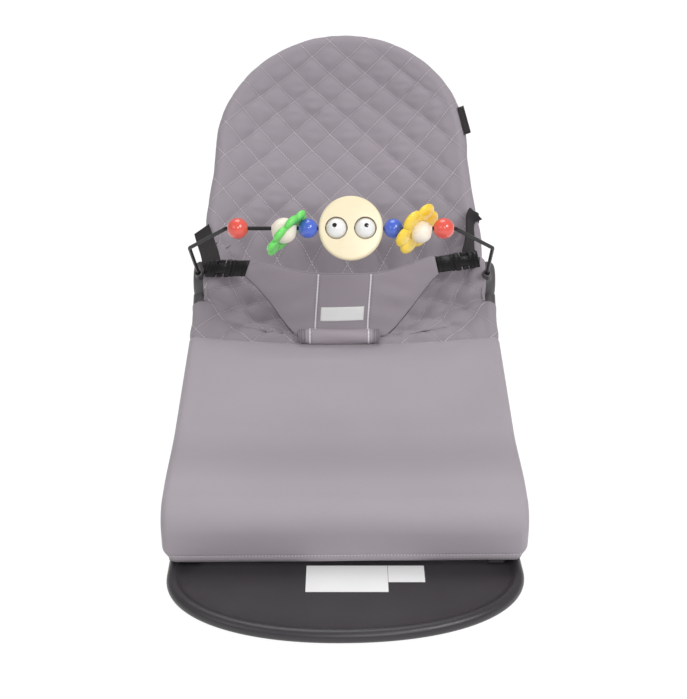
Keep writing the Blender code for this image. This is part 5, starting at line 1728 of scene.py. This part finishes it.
class BOUNCER_OT_plate(bpy.types.Operator):
    """Mould the foot plate with its rolled rim and sockets, and lay on its blank stickers"""

    bl_idname = "bouncer.plate"
    bl_label = "Foot plate"

    half_width = 0.1935
    belly = 0.112
    nose = 0.1142
    depth = 0.175
    corner = 0.022
    top = 0.012
    fullness = 2.15
    skew = math.radians(1.2)
    shift = 0.0018

    def outline(self, inset, height):
        """The plate's D shape, drawn in by the inset."""
        points = []
        width = self.half_width - inset
        nose = self.nose - inset
        corner = self.corner - min(inset, self.corner - 0.004)
        back = self.depth - inset
        for i in range(97):
            angle = math.pi * i / 96
            swell = arch_swell(angle, self.fullness)
            x = width * swell * math.cos(angle)
            points.append(Vector((x, FRONT + self.belly - nose * swell * math.sin(angle), height)))
        for side, first in ((-1, math.pi), (1, math.pi / 2)):
            for i in range(13):
                angle = first - math.pi / 2 * i / 12
                x = side * (width - corner) + corner * math.cos(angle)
                points.append(Vector((x, FRONT + back - corner + corner * math.sin(angle), height)))
        middle = Vector((0, FRONT + self.depth / 2, 0))
        turn = Matrix.Rotation(self.skew, 3, "Z")
        return [middle + turn @ (point - middle) + X_AXIS * self.shift for point in points]

    def execute(self, context):
        under = self.top - 0.003
        ramp = ((0.034, 0.0), (0.0170, 0.0), (0.0148, 0.0003), (0.0128, 0.0011), (0.0110, 0.0023))
        profile = [(inset, self.top + rise) for inset, rise in ramp]
        for i in range(16):
            angle = math.radians(112 - 194 * i / 15)
            profile.append((0.007 - 0.0078 * math.cos(angle), 0.0084 + 0.0074 * math.sin(angle)))
        profile += [(0.008, 0.0012), (0.012, 0.0024), (0.014, 0.006)]
        profile += [(0.016, under - 0.0004), (0.034, under)]
        rings = [self.outline(inset, height) for inset, height in profile]
        plate = drawn("moulded_plate", rings, "plate", angle=55)
        sockets = []
        for side in SIDES.values():
            wall = FLOOR_TUBE_RADIUS + 0.0034
            bore = FLOOR_TUBE_RADIUS + 0.00035
            corners = [(bore, 0.0), (bore, 0.042), (wall, 0.042), (wall, 0.0)]
            profile = softened(corners, [0.0008, 0.0016])
            start = Vector((side * FLOOR_HALF_SPAN, FRONT + self.depth - 0.014, FLOOR_TUBE_HEIGHT))
            sockets.append(turned("socket", profile, start, Y_AXIS, "plate"))
        joined("moulded_plate", [plate, *sockets])
        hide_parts("foot_plate")
        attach(plate, "base")
        self.sticker("sticker_wide", (-0.0415, 0.0742), (0.0470, 0.1225))
        self.sticker("sticker_small", (0.0474, 0.0920), (0.0870, 0.1225))
        return {"FINISHED"}

    def sticker(self, name, low, high):
        """A thin blank sticker with rounded corners, laid on the plate."""
        axes = (Y_AXIS * FRONT, X_AXIS, Y_AXIS, Z_AXIS)
        low = (*low, self.top + 0.00005)
        high = (*high, self.top + 0.0003)
        piece = block(name, low, high, axes, 0, "sticker")
        begin_edit("DESELECT")
        shape = bmesh.from_edit_mesh(piece.data)
        for edge in shape.edges:
            edge.select_set(abs((edge.verts[0].co - edge.verts[1].co).normalized().z) > 0.5)
        bmesh.update_edit_mesh(piece.data)
        bpy.ops.mesh.bevel(offset=0.0016, segments=4, affect="EDGES")
        end_edit()
        smooth(piece, 30.0)
        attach(piece, "base")


class BOUNCER_OT_hinges(bpy.types.Operator):
    """Turn the two halves of each side hinge, with their tube sleeves and the toy bar's sockets"""

    bl_idname = "bouncer.hinges"
    bl_label = "Hinges"

    radius = 0.0255
    outer_face = 0.194
    outer_thickness = 0.0145
    inner_thickness = 0.016
    gap = 0.0005
    # The groove and the sunk bolt on the outer half's face, as radii and depths
    sunk = (
        (0.0172, 0), (0.0164, 0.0006), (0.0112, 0.0007), (0.0104, 0),
        (0.0084, 0), (0.0078, 0.0006), (0.0078, 0.005), (0.0045, 0.005),
    )

    def sleeve(self, start, direction, reach_from, reach_to, bore, wall):
        corners = [(bore, reach_from), (bore, reach_to), (wall, reach_to), (wall, reach_from)]
        return turned("sleeve", softened(corners, [0.0006, 0.0012]), start, direction, "hinge", sides=40)

    def disc(self, profile, centre, outward):
        return turned("disc", profile, centre, outward, "hinge", 96, 32)

    def execute(self, context):
        outer_x = self.outer_face - self.outer_thickness
        inner_x = outer_x - self.gap - self.inner_thickness
        for name, side in SIDES.items():
            outward = X_AXIS * side
            disc = self.disc(self.outer_profile(), HINGE + outward * outer_x, outward)
            start = HINGE + outward * (LEG_X - 0.0005)
            leg = self.sleeve(start, -HIP_UP, 0.021, 0.047, TUBE_RADIUS + 0.0003, 0.0092)
            start = HINGE + outward * SOCKET_X[name]
            toy = self.sleeve(start, TOY_OUT, 0.018, SOCKET_REACH, WIRE_RADIUS + 0.0008, 0.0052)
            piece = joined(f"hinge_cap_{name}", [disc, leg, toy])
            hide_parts(f"hinge_outer_{name}")
            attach(piece, "leg_frame")
            disc = self.disc(self.inner_profile(), HINGE + outward * inner_x, outward)
            start = HINGE + outward * BACK_X
            back = self.sleeve(start, BACK_UP, 0.018, 0.052, TUBE_RADIUS + 0.00035, 0.0096)
            piece = joined(f"hinge_base_{name}", [disc, back])
            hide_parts(f"hinge_inner_{name}")
            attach(piece, "backrest")
        return {"FINISHED"}

    def outer_profile(self):
        """The outer half: hollow behind, a rounded shoulder, a groove and a sunk bolt on its face."""
        radius = self.radius
        face = self.outer_thickness
        profile = [(0.0045, 0.0046), (0.0226, 0.0046), (0.0226, 0), (radius - 0.0008, 0), (radius, 0.0008)]
        shoulder = [(radius, face - 0.009), (radius, face), (0.0175, face)]
        profile += softened(shoulder, [0.0078], math.radians(6))
        return profile + [(reach, face - depth) for reach, depth in self.sunk]

    def inner_profile(self):
        """The inner half: a bored disc whose lower edge is rounded."""
        edge = self.radius - 0.002
        face = self.inner_thickness
        profile = [(0.0045, 0.0055), (0.0090, 0.0055), (0.0090, 0)]
        profile += softened([(0.0100, 0), (edge, 0), (edge, 0.006)], [0.004], math.radians(9))
        return profile + [(edge, face - 0.0008), (edge - 0.0008, face), (0.0045, face)]


class BOUNCER_OT_toys(bpy.types.Operator):
    """Thread the beads, balls, flower rings and the round face on the toy bar"""

    bl_idname = "bouncer.toys"
    bl_label = "Toys"

    bore = 0.00235
    # How far the loose balls and their rings hang below the wire
    hangs = {"wood_left": 0.0026, "wood_right": 0.0040}
    # Each bead's node, place along the wire, radius, finish, slot and body
    beads = (
        ("red_bead_left", -0.1195, 0.0118, "red", "red_paint", "red_left"),
        ("red_bead_right", 0.1112, 0.0118, "red", "red_paint", "red_right"),
        ("wood_ball_left", -0.0676, 0.0144, "wood", "pale_wood", "wood_left"),
        ("wood_ball_right", 0.0858, 0.0126, "wood", "pale_wood", "wood_right"),
        ("blue_bead_left", -0.0408, 0.0110, "blue", "blue_paint", "blue_left"),
        ("blue_bead_right", 0.0550, 0.0110, "blue", "blue_paint", "blue_right"),
    )

    # Each ring's colour, place along the wire, its ball's radius, petals, tilt and spin in degrees,
    # how far it is off its ball's middle along its own axis, and its body
    flowers = (
        ("green", -0.0676, 0.0144, 8, 42, -124, 0.004, "wood_left"),
        ("yellow", 0.0858, 0.0126, 6, 47, -153, -0.006, "wood_right"),
    )
    face_x = 0.0072
    eye_x = 0.0162
    eye_radius = 0.012
    # Where each eye looks, from straight ahead
    looks = {"left": Vector((-0.20, 0, 0.30)), "right": Vector((0.13, 0, 0.27))}
    pupil_profile = (
        (0, 0.00035), (0.0014, 0.0003), (0.0024, 0.0001),
        (0.0028, -0.0004), (0.0014, -0.0009), (0, -0.0009),
    )

    def ball_profile(self, radius, steps=36):
        """A ball with a bore whose mouths are slightly rounded."""
        mouth = self.bore + 0.0006
        start = math.asin(mouth / radius)
        profile = []
        for i in range(steps + 1):
            angle = blended(start, math.pi - start, i / steps)
            profile.append((radius * math.sin(angle), radius * math.cos(angle)))
        height = profile[-1][1]
        profile += [(self.bore + 0.0001, height + 0.0003), (self.bore, height + 0.0009)]
        profile += [(self.bore, -height - 0.0009), (self.bore + 0.0001, -height - 0.0003)]
        return profile

    def execute(self, context):
        for node, x, radius, finish, slot, body in self.beads:
            centre = BAR_CENTRE + X_AXIS * x
            piece = turned(f"{node}_turned", self.ball_profile(radius), centre, X_AXIS, finish, 64)
            for vertex in piece.data.vertices:
                out = (vertex.co - centre).cross(X_AXIS).length
                share = smooth_share((out - self.bore) / (radius - self.bore) * 2)
                vertex.co.z -= self.hangs.get(body, 0.0) * share
            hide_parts(node)
            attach(piece, body)
        for flower in self.flowers:
            self.flower(*flower)
        self.face()
        return {"FINISHED"}

    def flower(self, colour, x, ball, petals, tilt, spin, offset, body):
        """A puffy ring of round petals about a ball, set off its middle along the ring's axis."""
        tilt = math.radians(tilt)
        spin = math.radians(spin)
        normal = Vector((math.cos(tilt), math.sin(tilt) * math.cos(spin), math.sin(tilt) * math.sin(spin)))
        turn = Z_AXIS.rotation_difference(normal).to_matrix()
        centre = BAR_CENTRE + X_AXIS * x - Z_AXIS * self.hangs[body] + normal * offset
        steps = petals * 20
        outer = 0.0325
        inner = math.sqrt(ball**2 - offset**2) + 0.00035
        rings = []
        for angle in spokes(steps):
            lobe = abs(math.cos(petals * angle / 2))
            reach = outer - 0.0062 * (1 - lobe**0.75)
            thick = 0.0042 * (0.55 + 0.45 * lobe**0.6)
            ring = []
            for spoke in spokes(28):
                across = squarer(math.cos(spoke), 0.72)
                height = squarer(math.sin(spoke), 0.85)
                radius = (inner + reach) / 2 + (reach - inner) / 2 * across
                share = (radius - inner) / (outer - inner)
                dish = 1 - 0.28 * math.exp(-(((share - 0.22) / 0.16) ** 2))
                ring.append(centre + turn @ polar(radius, angle, thick * height * dish))
            rings.append(ring)
        piece = drawn(f"flower_{colour}_moulded", rings, colour, closed=True, angle=60)
        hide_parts(f"flower_ring_{colour}")
        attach(piece, body)

    def face(self):
        """The cream disc with two round holes, a white eyeball loose in each."""
        centre = BAR_CENTRE + X_AXIS * self.face_x
        radius = 0.036
        half = 0.007
        corners = [(0, -half), (radius, -half), (radius, half), (0, half)]
        profile = softened(corners, [0.0032, 0.0032], math.radians(10))
        disc = turned("face_turned", profile, centre, FACE_FRONT, "cream", 128)
        hole_radius = self.eye_radius + 0.0006
        corners = [(0, -0.02), (hole_radius, -0.02), (hole_radius, 0.02), (0, 0.02)]
        for side in SIDES.values():
            eye = centre + X_AXIS * side * self.eye_x
            profile = softened(corners, [0.0001, 0.0001])
            self.cut_out(disc, turned("hole", profile, eye, FACE_FRONT, "cream", sides=64))
        profile = [(0, -0.05), (self.bore, -0.05), (self.bore, 0.05), (0, 0.05)]
        self.cut_out(disc, turned("bore", profile, centre, X_AXIS, "cream", sides=24))
        smooth(disc, 35.0)
        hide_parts("face_disc")
        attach(disc, "face")
        for name, side in SIDES.items():
            eye = centre + X_AXIS * side * self.eye_x
            profile = self.ball_profile(self.eye_radius, 40)
            ball = turned(f"eye_{name}_ball", profile, eye, X_AXIS, "white", 64)
            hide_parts(f"eyeball_{name}")
            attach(ball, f"eye_{name}")
            gaze = (FACE_FRONT + self.looks[name]).normalized()
            place = eye + gaze * (self.eye_radius - 0.0001)
            pupil = turned(f"pupil_{name}", self.pupil_profile, place, gaze, "pupil", sides=32)
            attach(pupil, f"eye_{name}")

    def cut_out(self, piece, cutter):
        apply_modifier(piece, "BOOLEAN", operation="DIFFERENCE", object=cutter, solver="EXACT")
        bpy.data.objects.remove(cutter)


class BOUNCER_OT_trims(bpy.types.Operator):
    """Add the blank side tag and the rubber feet at the back"""

    bl_idname = "bouncer.trims"
    bl_label = "Tag and feet"

    def execute(self, context):
        self.side_tag()
        inner = FLOOR_TUBE_RADIUS + 0.0005
        outer = FLOOR_TUBE_RADIUS + 0.005
        groove = outer - 0.0006
        half = 0.023
        profile = [(inner, -half), (outer - 0.002, -half), (groove, 0.0006 - half), (outer, 0.002 - half)]
        for k in range(-3, 4):
            x = k * 0.005
            profile += [(outer, x - 0.0010), (groove, x - 0.0006)]
            profile += [(groove, x + 0.0006), (outer, x + 0.0010)]
        profile += [(outer, half - 0.002), (groove, half - 0.0006), (outer - 0.002, half), (inner, half)]
        for name, side in SIDES.items():
            centre = Vector((side * 0.062, FLOOR_REAR, FLOOR_TUBE_HEIGHT))
            piece = turned(f"ribbed_foot_{name}", profile, centre, X_AXIS, "rubber", 48)
            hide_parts(f"rear_foot_{name}")
            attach(piece, "base")
        return {"FINISHED"}

    def side_tag(self):
        """A small folded tag sewn over the edge of the back, left blank."""
        angle = math.radians(13.2)
        swell = arch_swell(angle)
        x = ARCH_HALF_WIDTH * swell * math.cos(angle)
        up = (BACK_LENGTH - ARCH_START) * swell * math.sin(angle)
        outward = arch_outward(x, up)
        run = BACK_FRONT.cross(outward).normalized()
        centre = on_back(x, ARCH_START + up)
        radius = CLOTH_WRAP + 0.0010
        path = []
        for i in range(7):
            turn = blended(math.radians(78), math.radians(40), i / 6)
            path.append(centre + (outward * math.cos(turn) + BACK_FRONT * math.sin(turn)) * radius)
        away = outward - BACK_FRONT * 0.25
        path += [path[-1] + away * (0.0011 * i) for i in range(1, 4)]
        last = len(path) - 1

        def place(u, v):
            row = round((v + 1) / 2 * last)
            return path[row] + run * (u * 0.0205 + 0.0040 * (row / last - 0.5)), (u * 0.0205, row * 0.0015)

        piece, flat = cloth_grid("side_tag", 10, last, place, "webbing")
        finish_cloth(piece, flat, outward, 0.0014)
        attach(piece, "backrest")


class BOUNCER_PT_panel(bpy.types.Panel):
    """The steps that dress the bouncer, in order"""

    bl_idname = "BOUNCER_PT_panel"
    bl_label = "Baby bouncer"
    bl_space_type = "VIEW_3D"
    bl_region_type = "UI"
    bl_category = "Bouncer"

    def draw(self, context):
        layout = self.layout
        for group in (sizes(), colours()):
            column = layout.column(align=True)
            for name in group.bl_rna.properties.keys():
                if name not in ("rna_type", "name"):
                    column.prop(group, name)
        for step in STEPS:
            layout.operator(step.bl_idname)


STEPS = (
    BOUNCER_OT_stage,
    BOUNCER_OT_finishes,
    BOUNCER_OT_plate,
    BOUNCER_OT_tubes,
    BOUNCER_OT_hinges,
    BOUNCER_OT_seat,
    BOUNCER_OT_leg_cover,
    BOUNCER_OT_restraint,
    BOUNCER_OT_straps,
    BOUNCER_OT_toys,
    BOUNCER_OT_trims,
)
CLASSES = (BouncerSizes, BouncerColours, *STEPS, BOUNCER_PT_panel)


def register():
    for item in CLASSES:
        bpy.utils.register_class(item)
    bpy.types.Scene.bouncer_sizes = PointerProperty(type=BouncerSizes)
    bpy.types.Scene.bouncer_colours = PointerProperty(type=BouncerColours)


def unregister():
    del bpy.types.Scene.bouncer_colours
    del bpy.types.Scene.bouncer_sizes
    for item in reversed(CLASSES):
        bpy.utils.unregister_class(item)


def main():
    register()
    bpy.ops.bouncer.stage()
    bpy.ops.bouncer.finishes()
    bpy.ops.bouncer.plate()
    bpy.ops.bouncer.tubes()
    bpy.ops.bouncer.hinges()
    bpy.ops.bouncer.seat()
    bpy.ops.bouncer.leg_cover()
    bpy.ops.bouncer.restraint()
    bpy.ops.bouncer.straps()
    bpy.ops.bouncer.toys()
    bpy.ops.bouncer.trims()


if __name__ == "__main__":
    main()
